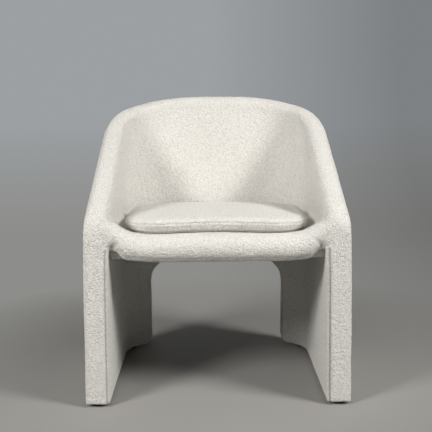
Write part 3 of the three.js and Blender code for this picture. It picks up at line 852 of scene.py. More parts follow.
    def seam_distances(self, point: Vector) -> dict[Seam, float]:
        """Distances from a point to each seam that runs near it, each signed.

        Args:
            point: the point.

        Returns:
            The distance to each seam.
        """
        wall = self.wall
        found = {}
        if point.y > 0 and point.z > wall.arch_top - wall.arch_corner:
            seam = abs(point.x) - wall.back_seam(point.z)
            found[Seam.BACK] = seam * math.cos(wall.back_seam_angle)
            found |= self.outer_seam_distances(point)
        if point.z < self.seat.deck_underside:
            found[Seam.LEG] = wall.inset(point) - wall.thickness + wall.leg_seam_inset
        if point.z > self.seat.underside - self.cell:
            found[Seam.SEAT] = wall.inset(point) - self.seat_seam
        return found

    def outer_seam_distances(self, point: Vector) -> dict[Seam, float]:
        """Distances from a point to the seams round the outside back cover.

        Args:
            point: the point.

        Returns:
            The signed distance to each seam that runs near the point.
        """
        wall = self.wall
        rim = point.z - wall.back_arch(point.x, wall.rim_lap)
        side = abs(point.x) - wall.outer_seam(point.z)
        if wall.inset(point) > wall.thickness / 2 or side > self.run_on_cells * self.cell:
            return {}
        found = {}
        if point.z > wall.deck_height:
            found[Seam.RIM] = rim
        elif point.z < wall.arch_top + self.cell:
            found[Seam.ARCH] = wall.inset(point) - wall.outer_back_inset
        if rim < self.run_on_cells * self.cell:
            found[Seam.SIDE] = side
        return found

    def straighten_seams(self, skin: bmesh.types.BMesh, owner: dict[int, Panel]) -> None:
        """Moves the points between two covers onto the seam that they meet in.

        Args:
            skin: the whole skin.
            owner: the cover that each face belongs to, by its index.
        """
        for vert in skin.verts:
            owners = {owner[face.index] for face in vert.link_faces}
            if len(owners) < 2:
                continue
            found = self.seam_distances(vert.co)
            if not found:
                continue
            seam = min(found, key=lambda key: abs(found[key]))
            away = found[seam]
            if abs(away) > self.snap_cells * self.cell:
                continue
            slope = self.seam_slope(vert.co, seam, away)
            slope -= vert.normal * slope.dot(vert.normal)
            if slope.length > self.least_slope:
                vert.co -= slope * (away / slope.length_squared)

    def seam_slope(self, point: Vector, seam: Seam, away: float) -> Vector:
        """Which way the distance to a seam grows at a point, and how fast.

        Args:
            point: the point.
            seam: the seam.
            away: the distance to it at the point.

        Returns:
            The growth along each axis.
        """
        slope = Vector()
        for axis in range(3):
            ahead = point.copy()
            ahead[axis] += self.probe
            slope[axis] = (self.seam_distances(ahead).get(seam, away) - away) / self.probe
        return slope

    def stand_out(self, point: Vector) -> float:
        """How far the finished cloth stands out from the plain skin at a point.

        Args:
            point: the point.

        Returns:
            The distance, below 0 where it is drawn in.
        """
        rise = self.pile.height(point) + self.hem_rise * self.hem_share(point)
        rise -= self.fold_depth * self.fold_share(point)
        for seam, distance in self.seam_distances(point).items():
            beside = abs(distance) - self.swell_place * self.seam_width
            swell = hill(beside, self.swell_width * self.seam_width)
            drawn = hill(distance, self.seam_width)
            rise += seam.value * (self.seam_swell * swell - self.seam_depth * drawn)
        return rise

    def fold_share(self, point: Vector) -> float:
        """How near a point is to the fold where an end of the lip meets the leg's front.

        Args:
            point: the point.

        Returns:
            A share from 0 to 1.
        """
        if point.y - self.wall.front > self.seat.lip_radius:
            return 0.0
        along = self.fold_end - self.fold_start
        place = Vector((abs(point.x), point.z)) - self.fold_start
        share = clamp(place.dot(along) / along.length_squared, 0, 1)
        return share * hill((place - along * share).length, self.fold_width)

    def hem_share(self, point: Vector) -> float:
        """How near a point is to the stitched ridge along the lip's lower edge.

        Args:
            point: the point.

        Returns:
            1 on the ridge, below 0 in the hollow over it.
        """
        depth = point.y - self.wall.front
        if depth > self.seat.lip_radius or self.wall.inset(point) < self.wall.thickness:
            return 0.0
        above = point.z - self.seat.under(point.x) - self.hem_height
        ridge = hill(above, self.hem_width)
        return ridge - hill(above - self.hem_hollow * self.hem_width, self.hem_width)

    def seam_share(self, point: Vector) -> float:
        """How dark the cloth is at a point: near a visible seam, plus painted shade in the fold at
        the lip's ends and the hollow over the hem.

        Args:
            point: the point.

        Returns:
            A share from 0 to 1.
        """
        distances = self.seam_distances(point)
        near = [seam.value * hill(away, self.seam_width) for seam, away in distances.items()]
        # Painted shade in the fold where an end of the lip meets the leg's front.
        near.append(self.fold_shade * self.fold_share(point))
        # Painted shade in the hollow over the hem's ridge, where hem_share is below 0.
        return clamp(max(near) - self.hem_shade * min(0.0, self.hem_share(point)), 0, 1)

    def build(self) -> dict[Panel, bpy.types.Object]:
        """Builds the covers.

        Returns:
            Each cover's object, by its panel.
        """
        skin = self.skin()
        skin.faces.index_update()
        owner = {face.index: self.panel_at(face.calc_center_median()) for face in skin.faces}
        skin.normal_update()
        self.straighten_seams(skin, owner)
        skin.normal_update()
        # The attribute holds dark seams and painted shade in the fold and the hem's hollow.
        shade = skin.verts.layers.float.new(SEAM_AND_SHADE)
        for vert in skin.verts:
            vert[shade] = self.seam_share(vert.co)
        moves = [vert.normal * self.stand_out(vert.co) for vert in skin.verts]
        for vert, move in zip(skin.verts, moves):
            vert.co += move
        skin.normal_update()
        pieces = {}
        for panel in Panel:
            part = skin.copy()
            part.faces.index_update()
            others = [face for face in part.faces if owner[face.index] is not panel]
            bmesh.ops.delete(part, geom=others, context="FACES")
            self.turn_in(part)
            pieces[panel] = smoothed(part, panel.value)
        skin.free()
        return pieces

    def turn_in(self, part: bmesh.types.BMesh) -> None:
        """Turns the cut edge of a cover in, as its seam allowance is.

        Args:
            part: the cover's mesh.
        """
        part.normal_update()
        edge = [item for item in part.edges if item.is_boundary]
        inward = {vert: -vert.normal for item in edge for vert in item.verts}
        for item in edge:
            item.smooth = False
        made = bmesh.ops.extrude_edge_only(part, edges=edge)["geom"]
        for item in made:
            if isinstance(item, bmesh.types.BMVert):
                ends = (vert for side in item.link_edges for vert in side.verts)
                source = next(vert for vert in ends if vert in inward)
                item.co += inward[source] * self.tuck
        fresh = {item for item in made if isinstance(item, bmesh.types.BMFace)}
        for item in edge:
            loops = item.link_loops
            if len(loops) == 2 and loops[0].vert == loops[1].vert:
                next(loop.face for loop in loops if loop.face in fresh).normal_flip()


@dataclass(frozen=True)
class CushionForm:
    """The loose cushion: a rounded D with a boxing band, a crown and a zip underneath.

    underside_parts divide the reach into the underside's rings. foot_round tells its points as
    shares of the foot's inset and of the band's height.
    """

    centre_y: float
    base: float
    half_width: float
    reach: float
    zip_y: float
    zip_half_length: float
    front_corner: float = 0.115
    back_corner: float = 0.160
    boxing: float = 0.033
    crown: float = 0.0070
    seam_draw: float = 0.004
    side_draw: float = 0.004
    front_draw: float = 0.010
    rear_thinning: float = 0.28
    thinning_run: tuple[float, float] = (-0.03, 0.17)
    foot_inset: float = 0.010
    edge_round: float = 0.0095
    zip_width: float = 0.0125
    zip_lift: float = 0.0122
    underside_parts: tuple[int, ...] = (1, 2, 6)
    foot_round: tuple[tuple[float, float], ...] = ((0.72, 0.2), (0.36, 0.5), (0.1, 0.66))
    edge_turns: tuple[float, ...] = (0.2, 0.5, 0.8, 1.1)
    crown_steps: int = 10
    crown_fullness: float = 1.15

    def corner_point(self, corner: tuple[int, int, float], turn: float) -> tuple[float, float]:
        """A point of one of the outline's corners.

        Args:
            corner: the sides across and along that it lies on, -1 or 1 each, and its radius.
            turn: the direction in which the point lies from the corner's centre.

        Returns:
            x and y of the point, about the cushion's middle.
        """
        side_x, side_y, radius = corner
        x = side_x * (self.half_width - radius) + radius * math.cos(turn)
        return x, side_y * (self.reach - radius) + radius * math.sin(turn)

    def outline(self, steps: int) -> list[tuple[float, float]]:
        """The cushion's outline from above, about its middle, its sides drawn in a little.

        Args:
            steps: steps in each corner and in each side.

        Returns:
            The outline's points, counterclockwise.
        """
        corners = (
            (1, 1, self.back_corner), (-1, 1, self.back_corner),
            (-1, -1, self.front_corner), (1, -1, self.front_corner),
        )
        points = []
        for index, corner in enumerate(corners):
            turns = [math.pi / 2 * (index + i / steps) for i in range(steps + 1)]
            points += [self.corner_point(corner, turn) for turn in turns]
            end = Vector(points[-1])
            start = Vector(self.corner_point(corners[(index + 1) % len(corners)], turns[-1]))
            inward = -Vector((math.cos(turns[-1]), math.sin(turns[-1])))
            is_front = corner[1] < 0 < -corner[0]
            deepest = self.front_draw if is_front else self.side_draw
            for i in range(1, steps):
                share = i / steps
                draw = deepest * (1 - (2 * share - 1) ** 2)
                points.append(tuple(end.lerp(start, share) + inward * draw))
        return points

    def thickness_share(self, y: float) -> float:
        """How much of its thickness the cushion has at y: it is flattened towards the back."""
        return 1 - self.rear_thinning * smooth_step(y, *self.thinning_run)

    def height(self, point: Vector) -> float:
        """A point's height over the underside, as if the cushion were nowhere flattened."""
        return (point.z - self.base) / self.thickness_share(point.y)

    def profile(self) -> list[tuple[float, float]]:
        """How far in and how high each ring lies, from the underside's middle to the crown.

        Returns:
            The rings in order.
        """
        foot, seam, side, edge = self.foot_inset, self.seam_draw, self.boxing, self.edge_round
        rings = [(self.reach / part, 0.0) for part in self.underside_parts]
        rings += [(foot + seam, 0.0), (foot, seam / 3)]
        rings += [(foot * inset, side * height) for inset, height in self.foot_round]
        for turn in self.edge_turns:
            rings.append((edge * (1 - math.cos(turn)), side - edge * (1 - math.sin(turn))))
        inset, height = rings[-1]
        for i in range(1, self.crown_steps + 1):
            share = i / self.crown_steps
            lift = math.sin(math.pi / 2 * min(1.0, self.crown_fullness * share))
            rings.append((inset + (self.reach - inset) * share, height + self.crown * lift))
        return rings


@dataclass
class Cushion:
    """Makes the loose cushion: shaped, blown up as stuffed cloth, then seamed and napped.

    lip_width and foot_width count widths of a seam.
    """

    form: CushionForm
    seat: SeatForm
    pile: Pile = field(default_factory=Pile)
    cell: float = 0.005
    even_passes: int = 2
    outline_steps: int = 14
    pressure: float = 4.0
    frames: int = 20
    cap: float = 0.0045
    seam_width: float = 0.0024
    seam_depth: float = 0.0017
    lip_height: float = 0.0012
    lip_width: float = 1.6
    seam_shade: float = 0.35
    foot_shade: float = 0.85
    foot_width: float = 1.5
    band_shade: float = 0.28

    def blank(self) -> bmesh.types.BMesh:
        """Lofts the cushion's plain closed form.

        Returns:
            The form's mesh.
        """
        form = self.form
        outline, profile = form.outline(self.outline_steps), form.profile()
        count = len(outline)

        def place(column: int, row: int) -> Vector:
            """The point of a column round the cushion and a row up its profile.

            Args:
                column: the outline's point, counted from 0.
                row: the profile's ring, counted from 0.

            Returns:
                The point.
            """
            inset, height = profile[row]
            x, y = outline[column % count]
            shrink = 1 - inset / form.reach
            depth = form.centre_y + y * shrink
            return Vector((x * shrink, depth, form.base + height * form.thickness_share(depth)))

        body = mapped_grid(count, len(profile) - 1, place)
        bmesh.ops.recalc_face_normals(body, faces=body.faces)
        return body

    def blown_up(self, body: bmesh.types.BMesh) -> bmesh.types.BMesh:
        """Swells the form with a short cloth simulation and caps how far each point moves.

        Args:
            body: the form, which is freed.

        Returns:
            The swollen mesh.
        """
        body.normal_update()
        rest = [(vert.co.copy(), vert.normal.copy()) for vert in body.verts]
        pad = as_object(body, "cushion_cloth")
        modifier = pad.modifiers.new("cloth", "CLOTH")
        modifier.settings.use_pressure = True
        modifier.settings.uniform_pressure_force = self.pressure
        modifier.settings.effector_weights.gravity = 0
        modifier.point_cache.frame_start = 1
        modifier.point_cache.frame_end = self.frames
        for frame in range(1, self.frames + 1):
            bpy.context.scene.frame_set(frame)
        swollen = baked(pad)
        bpy.context.scene.frame_set(1)
        for vert, (place, normal) in zip(swollen.verts, rest):
            vert.co = place + normal * clamp((vert.co - place).dot(normal), 0, self.cap)
        return swollen

    def stand_out(self, point: Vector) -> float:
        """How far the finished cloth stands out from the plain skin at a point.

        Args:
            point: the point.

        Returns:
            The distance, below 0 where it is drawn in.
        """
        above = self.form.height(point) - self.form.boxing + self.form.seam_draw / 4
        lip = self.lip_height * hill(above, self.lip_width * self.seam_width)
        return self.pile.height(point) + lip - self.seam_depth * self.seam_share(point)

    def seam_share(self, point: Vector) -> float:
        """How near a point is to the seam under the cushion's upper edge or the one at its foot.

        Args:
            point: the point.

        Returns:
            A share from 0 to 1.
        """
        form = self.form
        height = form.height(point)
        upper = hill(height - form.boxing + 2 * form.seam_draw, self.seam_width)
        return max(upper, hill(height - form.seam_draw, self.seam_width))

    def shade(self, point: Vector) -> float:
        """How dark the cloth is painted at a point: dark seams, a painted shadow along the foot and
        painted shade down the band.

        Args:
            point: the point.

        Returns:
            A share from 0 to 1.
        """
        form = self.form
        height = form.height(point)
        width = self.foot_width * self.seam_width
        # Painted shadow along the foot, where the cushion meets the seat.
        foot = self.foot_shade * hill(height - form.seam_draw / 2, width)
        # Painted shade down the band, which leans in and faces a little downward.
        band = self.band_shade * (1 - smooth_step(height, form.boxing / 2, form.boxing))
        return max(foot, band, self.seam_shade * self.seam_share(point))

    def build(self) -> bpy.types.Object:
        """Builds the cushion's cover.

        Returns:
            Its object, with its place in its mesh.
        """
        form = self.form
        body = remeshed(self.blank(), self.cell)
        relax(body, self.even_passes, lambda point: 1.0)
        body = self.blown_up(body)
        pad = as_object(body, "cushion_upholstery")
        pad.modifiers.new("finer", "SUBSURF").levels = 1
        body = baked(pad)
        body.normal_update()
        # The attribute holds dark seams, the painted shadow at the foot and the painted shade down
        # the band.
        shade = body.verts.layers.float.new(SEAM_AND_SHADE)
        moves = [vert.normal * self.stand_out(vert.co) for vert in body.verts]
        for vert, move in zip(body.verts, moves):
            vert[shade] = self.shade(vert.co)
            vert.co += move
            near = abs(vert.co.y - form.zip_y) - form.zip_width / 2
            ahead = abs(vert.co.x) - form.zip_half_length
            slot = 1 - smooth_step(max(near, ahead), 0.0, self.cell / 2)
            floor = form.base + form.zip_lift * slot
            if vert.co.z < form.base + self.cell:
                vert.co.z = max(vert.co.z, floor)
            vert.co.z += self.seat.crown(vert.co.x, vert.co.y - self.seat.wall.front)
        return smoothed(body, "cushion_upholstery")


@dataclass(frozen=True)
class RailWrap:
    """The seat cover's lower end, drawn over the front rail and turned under it."""

    half_width: float
    front: float
    top: float
    bottom: float
    behind: float
    thickness: float = 0.0012
    columns: int = 96
    pucker: float = 0.0005
    pucker_size: float = 0.02

    def build(self) -> bpy.types.Object:
        """Builds the wrap as a folded strip with a little pucker.

        Returns:
            The wrap's object.
        """
        profile = [(self.front, self.top), (self.front, (self.top + self.bottom) / 2)]
        profile += [(self.front, self.bottom), (self.behind, self.bottom)]

        def place(column: int, row: int) -> Vector:
            """The point of a column across the chair and a row down the strip.

            Args:
                column: steps from the left.
                row: the fold's point, counted from 0.

            Returns:
                The point.
            """
            x = self.half_width * (2 * column / self.columns - 1)
            y, z = profile[row]
            pucker = self.pucker * abs(noise.noise(Vector((x, y, z)) / self.pucker_size))
            return Vector((x, y - pucker, z))

        bm = mapped_grid(self.columns, len(profile) - 1, place)
        bmesh.ops.recalc_face_normals(bm, faces=bm.faces)
        bmesh.ops.solidify(bm, geom=bm.faces, thickness=self.thickness)
        return smoothed(bm, "rail_wrap")


@dataclass(frozen=True)
class Glide:
    """A round plastic glide with a recessed screw, made by turning its profile.

    Its chamfer, bore and hole are shares of its radius.
    """

    node: str
    chamfer: float = 0.1
    bore: float = 0.275
    hole: float = 0.115
    steps: int = 64
    sharp: float = math.radians(30)
    soften: float = 0.0006
    soften_steps: int = 3

    def build(self) -> bpy.types.Object:
        """Turns the glide about its own axis, where its node stands.

        Returns:
            The glide's object.
        """
        low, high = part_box(self.node)
        axis = (low + high) / 2
        radius, height = (high.x - low.x) / 2, high.z - low.z
        chamfer, bore, hole = (radius * share for share in (self.chamfer, self.bore, self.hole))
        profile = (
            (hole, height), (hole, height / 2), (bore, height / 2), (bore, 0.0),
            (radius - chamfer, 0.0), (radius, chamfer), (radius, height),
        )
        bm = bmesh.new()
        verts = [bm.verts.new((axis.x + r, axis.y, low.z + z)) for r, z in profile]
        edges = [bm.edges.new(pair) for pair in zip(verts, verts[1:] + verts[:1])]
        bmesh.ops.spin(
            bm, geom=verts + edges, cent=axis, axis=(0, 0, 1), angle=math.tau,
            steps=self.steps, use_merge=True)
        bmesh.ops.remove_doubles(bm, verts=bm.verts, dist=MERGE_DISTANCE)
        bmesh.ops.recalc_face_normals(bm, faces=bm.faces)
        closed = [edge for edge in bm.edges if edge.is_manifold]
        rims = [edge for edge in closed if edge.calc_face_angle() > self.sharp]
        bmesh.ops.bevel(
            bm, geom=rims, offset=self.soften, segments=self.soften_steps, profile=0.5,
            affect="EDGES", material=-1)
        return smoothed(bm, self.node.replace("glide", "glide_foot"))


Tint = tuple[float, float, float, float]
Socket = bpy.types.NodeSocket
FLOAT, COLOUR, VECTOR = "NodeSocketFloat", "NodeSocketColor", "NodeSocketVector"
BLACK: Tint = (0.0, 0.0, 0.0, 1.0)
Span = tuple[float, float]
UNIT: Span = (0.0, 1.0)


class Wiring:
    """Adds nodes to one node tree and joins them."""

    def __init__(self, tree: bpy.types.NodeTree) -> None:
        """Keeps the tree that the nodes go into."""
        self.tree = tree

    def add(self, kind: str, inputs: dict | None = None, **settings: object) -> bpy.types.Node:
        """Adds a node.

        Args:
            kind: the node's type.
            inputs: a value, or a socket to join, for each input's name or number.
            settings: the node's own settings.

        Returns:
            The new node.
        """
        node = self.tree.nodes.new(kind)
        for name, value in settings.items():
            setattr(node, name, value)
        for name, value in (inputs or {}).items():
            if isinstance(value, Socket):
                self.tree.links.new(value, node.inputs[name])
            else:
                node.inputs[name].default_value = value
        return node

    def number(self, operation: str, *values: object) -> Socket:
        """Adds a math node and gives its result."""
        return self.add("ShaderNodeMath", dict(enumerate(values)), operation=operation).outputs[0]

    def vector(self, operation: str, inputs: dict, result: str = "Vector") -> Socket:
        """Adds a vector math node and gives its result."""
        return self.add("ShaderNodeVectorMath", inputs, operation=operation).outputs[result]

    def cloud(self, place: Socket, scale: object, detail: float, bend: float = 0.0) -> Socket:
        """Adds a noise texture and gives its value."""
        inputs = {"Vector": place, "Scale": scale, "Detail": detail, "Distortion": bend}
        return self.add("ShaderNodeTexNoise", inputs).outputs[0]

    def mixed(self, share: object, first: object, second: object) -> Socket:
        """Mixes two colours by a share and gives the result."""
        inputs = {0: share, 6: first, 7: second}
        return self.add("ShaderNodeMix", inputs, data_type="RGBA").outputs[2]

    def ranged(self, value: object, low: float, high: float, to: Span = UNIT) -> Socket:
        """Stretches a value from one range to another, kept inside it."""
        inputs = {0: value, 1: low, 2: high, 3: to[0], 4: to[1]}
        return self.add("ShaderNodeMapRange", inputs, clamp=True).outputs[0]


class Effect:
    """A surface's small relief and its two tones: a node group that finishes share, made once.

    Each effect has a measure of its own, which its finishes set, and says at which heights the
    dark tone ends and the light one is full. A seamed effect also takes the cloth's seam shade.
    """

    name = "effect"
    measure = "Size"
    contrast = UNIT
    seamed = False

    def height(self, wiring: Wiring, given: bpy.types.NodeOutputs) -> Socket:
        """Wires the relief."""
        raise NotImplementedError

    def wire(self, wiring: Wiring, given: bpy.types.NodeOutputs) -> tuple[Socket, Socket]:
        """Wires the whole effect, its hollows in the dark tone and its tops in the light one.

        Args:
            wiring: the group's wiring.
            given: what the group is given.

        Returns:
            The colour and the height.
        """
        height = self.height(wiring, given)
        mask = wiring.ranged(height, *self.contrast)
        return wiring.mixed(mask, given["Dark"], given["Light"]), height

    def group(self) -> bpy.types.NodeTree:
        """Gives the node group, and makes it the first time.

        Returns:
            The group.
        """
        if self.name in bpy.data.node_groups:
            return bpy.data.node_groups[self.name]
        tree = bpy.data.node_groups.new(self.name, "ShaderNodeTree")
        sockets = {"Vector": VECTOR, self.measure: FLOAT, "Light": COLOUR, "Dark": COLOUR}
        if self.seamed:
            sockets["Seam"] = FLOAT
        for name, kind in sockets.items():
            tree.interface.new_socket(name, in_out="INPUT", socket_type=kind)
        for name, kind in (("Color", COLOUR), ("Height", FLOAT)):
            tree.interface.new_socket(name, in_out="OUTPUT", socket_type=kind)
        wiring = Wiring(tree)
        colour, height = self.wire(wiring, wiring.add("NodeGroupInput").outputs)
        wiring.add("NodeGroupOutput", {"Color": colour, "Height": height})
        return tree


class LoopedPile(Effect):
    """Bouclé yarn: small curled loops, with painted shade in the hollows between them and fine
    fibres on top.

    Its scales count noise cells in a metre, apart from the knots' scale, a share of the loops'.
    """

    name = "looped_pile"
    measure = "Loop Size"
    contrast = (0.44, 0.72)
    seamed = True
    curl_scale, curl_reach = 130.0, 0.006
    loop_softness, loop_share = 0.55, 0.55
    knot_scale, knot_share = 0.7, 0.45
    fibre_scale, fibre_share = 1300.0, 0.15
    clump_scale, clump_contrast, clump_tone = 55.0, (0.3, 0.7), (0.0, 0.12)
    seam_contrast, seam_tone, seam_black, seam_drop = (0.25, 1.0), (0.0, 0.75), 0.6, 0.5

    def height(self, wiring: Wiring, given: bpy.types.NodeOutputs) -> Socket:
        """Wires curled cells, knots and fibres.

        Args:
            wiring: the group's wiring.
            given: what the group is given.

        Returns:
            The height.
        """
        place = given["Vector"]
        inputs = {"Vector": place, "Scale": self.curl_scale, "Detail": 2.0}
        curl = wiring.add("ShaderNodeTexNoise", inputs).outputs["Color"]
        shift = wiring.vector("SUBTRACT", {0: curl, 1: (0.5, 0.5, 0.5)})
        shift = wiring.vector("SCALE", {0: shift, "Scale": self.curl_reach})
        bent = wiring.vector("ADD", {0: place, 1: shift})
        density = wiring.number("DIVIDE", 1.0, given[self.measure])
        inputs = {"Vector": bent, "Scale": density, "Smoothness": self.loop_softness}
        loops = wiring.add("ShaderNodeTexVoronoi", inputs, feature="SMOOTH_F1").outputs[0]
        knots = wiring.cloud(place, wiring.number("MULTIPLY", density, self.knot_scale), 1.0)
        fibre = wiring.cloud(place, self.fibre_scale, 3.0)
        tops = wiring.number("SUBTRACT", 1.0, loops)
        height = wiring.number("MULTIPLY", tops, self.loop_share)
        height = wiring.number("MULTIPLY_ADD", knots, self.knot_share, height)
        return wiring.number("MULTIPLY_ADD", fibre, self.fibre_share, height)

    def wire(self, wiring: Wiring, given: bpy.types.NodeOutputs) -> tuple[Socket, Socket]:
        """Wires the pile, some clumps a little darker, and its seams dark and low, with the painted
        shade that the Seam input also carries.

        Args:
            wiring: the group's wiring.
            given: what the group is given.

        Returns:
            The colour and the height.
        """
        height = self.height(wiring, given)
        light, dark, seam = given["Light"], given["Dark"], given["Seam"]
        # Low parts of the pile take the dark tone: painted shade in the hollows between loops.
        mask = wiring.ranged(height, *self.contrast)
        clump = wiring.cloud(given["Vector"], self.clump_scale, 3.0)
        tone = wiring.ranged(clump, *self.clump_contrast, self.clump_tone)
        cloth = wiring.mixed(mask, dark, wiring.mixed(tone, light, dark))
        # The Seam input darkens the cloth towards black along seams and where shade is painted:
        # folds, the hem's hollow, the cushion's foot and band.
        shade = wiring.ranged(seam, *self.seam_contrast, self.seam_tone)
        colour = wiring.mixed(shade, cloth, wiring.mixed(self.seam_black, dark, BLACK))
        return colour, wiring.number("MULTIPLY_ADD", seam, -self.seam_drop, height)


class Weave(Effect):
    """Plain weave: threads that pass over and under each other."""

    name = "plain_weave"
    measure = "Thread"
    contrast = (0.1, 0.9)
    bend = 0.4
    fuzz_scale, fuzz_share = 900.0, 0.3

    def height(self, wiring: Wiring, given: bpy.types.NodeOutputs) -> Socket:
        """Wires two sets of waves and some fuzz.

        Args:
            wiring: the group's wiring.
            given: what the group is given.

        Returns:
            The height.
        """
        density = wiring.number("DIVIDE", 0.5, given[self.measure])
        inputs = {
            "Vector": given["Vector"], "Scale": density, "Distortion": self.bend, "Detail": 1.0}
        waves = [
            wiring.add("ShaderNodeTexWave", inputs, bands_direction=direction).outputs[1]
            for direction in ("X", "Y")
        ]
        threads = wiring.number("MULTIPLY", *waves)
        fuzz = wiring.cloud(given["Vector"], self.fuzz_scale, 2.0)
        return wiring.number("MULTIPLY_ADD", fuzz, self.fuzz_share, threads)


class Grain(Effect):
    """Wood grain: long streaks along y, with fine pores."""

    name = "wood_grain"
    measure = "Streaks"
    contrast = (0.45, 0.95)
    stretch = (1.0, 0.06, 1.0)
    bend = 0.6
    pore_scale, pore_share = 900.0, 0.4

    def height(self, wiring: Wiring, given: bpy.types.NodeOutputs) -> Socket:
        """Wires stretched noise and its pores.

        Args:
            wiring: the group's wiring.
            given: what the group is given.

        Returns:
            The height.
        """
        inputs = {"Vector": given["Vector"], "Scale": self.stretch}
        along = wiring.add("ShaderNodeMapping", inputs).outputs[0]
        streak = wiring.cloud(along, given[self.measure], 5.0, self.bend)
        pores = wiring.cloud(along, self.pore_scale, 2.0)
        return wiring.number("MULTIPLY_ADD", pores, self.pore_share, streak)


class Mottle(Effect):
    """Slight unevenness of a moulded or plated surface."""

    name = "mottle"
    contrast = (0.3, 0.7)

    def height(self, wiring: Wiring, given: bpy.types.NodeOutputs) -> Socket:
        """Wires one cloud of noise."""
        density = wiring.number("DIVIDE", 1.0, given[self.measure])
        return wiring.cloud(given["Vector"], density, 5.0)


@dataclass(frozen=True)
class Finish:
    """A finish: an effect with its own measure and two tones, on a shader with plain values."""

    name: str
    effect: Effect
    measure: float
    light: Tint
    dark: Tint
    roughness: tuple[float, float]
    relief: float
    metallic: float = 0.0
    sheen: float = 0.0

    def material(self) -> bpy.types.Material:
        """Makes the material.

        Returns:
            The new material.
        """
        material = bpy.data.materials.new(self.name)
        material.use_nodes = True
        material.node_tree.nodes.clear()
        wiring = Wiring(material.node_tree)
        inputs = {
            "Vector": wiring.add("ShaderNodeTexCoord").outputs["Object"],
            self.effect.measure: self.measure, "Light": self.light, "Dark": self.dark,
        }
        if self.effect.seamed:
            inputs["Seam"] = wiring.add("ShaderNodeAttribute", attribute_name=SEAM_AND_SHADE).outputs["Fac"]
        effect = wiring.add("ShaderNodeGroup", inputs, node_tree=self.effect.group())
        height = effect.outputs["Height"]
        inputs = {"Height": height, "Strength": 1.0, "Distance": self.relief}
        bump = wiring.add("ShaderNodeBump", inputs)
        shader = wiring.add("ShaderNodeBsdfPrincipled", {
            "Base Color": effect.outputs["Color"], "Metallic": self.metallic,
            "Roughness": wiring.ranged(height, *UNIT, self.roughness),
            "Sheen Weight": self.sheen, "Normal": bump.outputs[0]})
        wiring.add("ShaderNodeOutputMaterial", {"Surface": shader.outputs[0]})
        return material


FINISHES = {
    # The bouclé's dark tone paints shade into the hollows between loops; it also tints random
    # clumps and the seams.
    "boucle": Finish(
        "cream_boucle", LoopedPile(), 0.0035, (0.87, 0.857, 0.82, 1), (0.705, 0.678, 0.625, 1),
        (1.0, 0.85), 0.0046, sheen=0.15),
    "foam": Finish(
        "cream_foam", Mottle(), 0.002, (0.74, 0.62, 0.33, 1), (0.60, 0.48, 0.22, 1),
        (0.8, 1.0), 0.0004),
    "plywood": Finish(
        "birch_plywood", Grain(), 45.0, (0.62, 0.43, 0.24, 1), (0.45, 0.28, 0.13, 1),
        (0.5, 0.7), 0.0002),
    "timber": Finish(
        "beech_timber", Grain(), 28.0, (0.52, 0.32, 0.16, 1), (0.35, 0.19, 0.09, 1),
        (0.5, 0.7), 0.0002),
    "webbing": Finish(
        "jute_webbing", Weave(), 0.0022, (0.26, 0.22, 0.16, 1), (0.12, 0.10, 0.07, 1),
        (0.8, 0.95), 0.0006),
    "cambric": Finish(
        "black_cambric", Weave(), 0.0009, (0.020, 0.020, 0.021, 1), (0.008, 0.008, 0.009, 1),
        (0.85, 0.95), 0.0002),
    "steel": Finish(
        "zinc_steel", Mottle(), 0.004, (0.46, 0.47, 0.48, 1), (0.36, 0.37, 0.38, 1),
        (0.28, 0.42), 0.00005, metallic=1.0),
    "glide_plastic": Finish(
        "black_plastic", Mottle(), 0.0012, (0.012, 0.012, 0.012, 1), (0.007, 0.007, 0.007, 1),
        (0.38, 0.52), 0.00006),
    "zip_tape": Finish(
        "cream_tape", Weave(), 0.0007, (0.72, 0.68, 0.60, 1), (0.50, 0.46, 0.39, 1),
        (0.8, 0.95), 0.0002),
}


@dataclass(frozen=True)
class Lamp:
    """A soft lamp that points at the chair, its light held to a cone."""

    name: str
    place: tuple[float, float, float]
    size: tuple[float, float]
    power: float
    spread: float = math.pi
    tint: tuple[float, float, float] = (1.0, 0.99, 0.975)
    target: tuple[float, float, float] = (0.0, 0.0, 0.4)

    def hang(self) -> None:
        """Hangs the lamp."""
        data = bpy.data.lights.new(self.name, "AREA")
        data.shape = "RECTANGLE"
        data.size, data.size_y = self.size
        data.energy = self.power
        data.spread = self.spread
        data.color = self.tint
        lamp = bpy.data.objects.new(self.name, data)
        bpy.context.scene.collection.objects.link(lamp)
        lamp.visible_camera = False
        lamp.location = self.place
        aim = Vector(self.target) - Vector(self.place)
        lamp.rotation_euler = aim.to_track_quat("-Z", "Y").to_euler()


LAMPS = (
    Lamp("left_lamp", (-1.95, -2.00, 2.00), (0.85, 0.85), 70.0),
    Lamp("right_lamp", (2.20, -1.40, 2.30), (0.85, 0.85), 35.5, math.radians(120)),
    Lamp("ceiling_lamp", (0.0, -0.90, 3.40), (3.0, 3.0), 8.5),
    Lamp("rear_lamp", (0.0, 2.40, 0.10), (1.6, 0.14), 9.0),
)


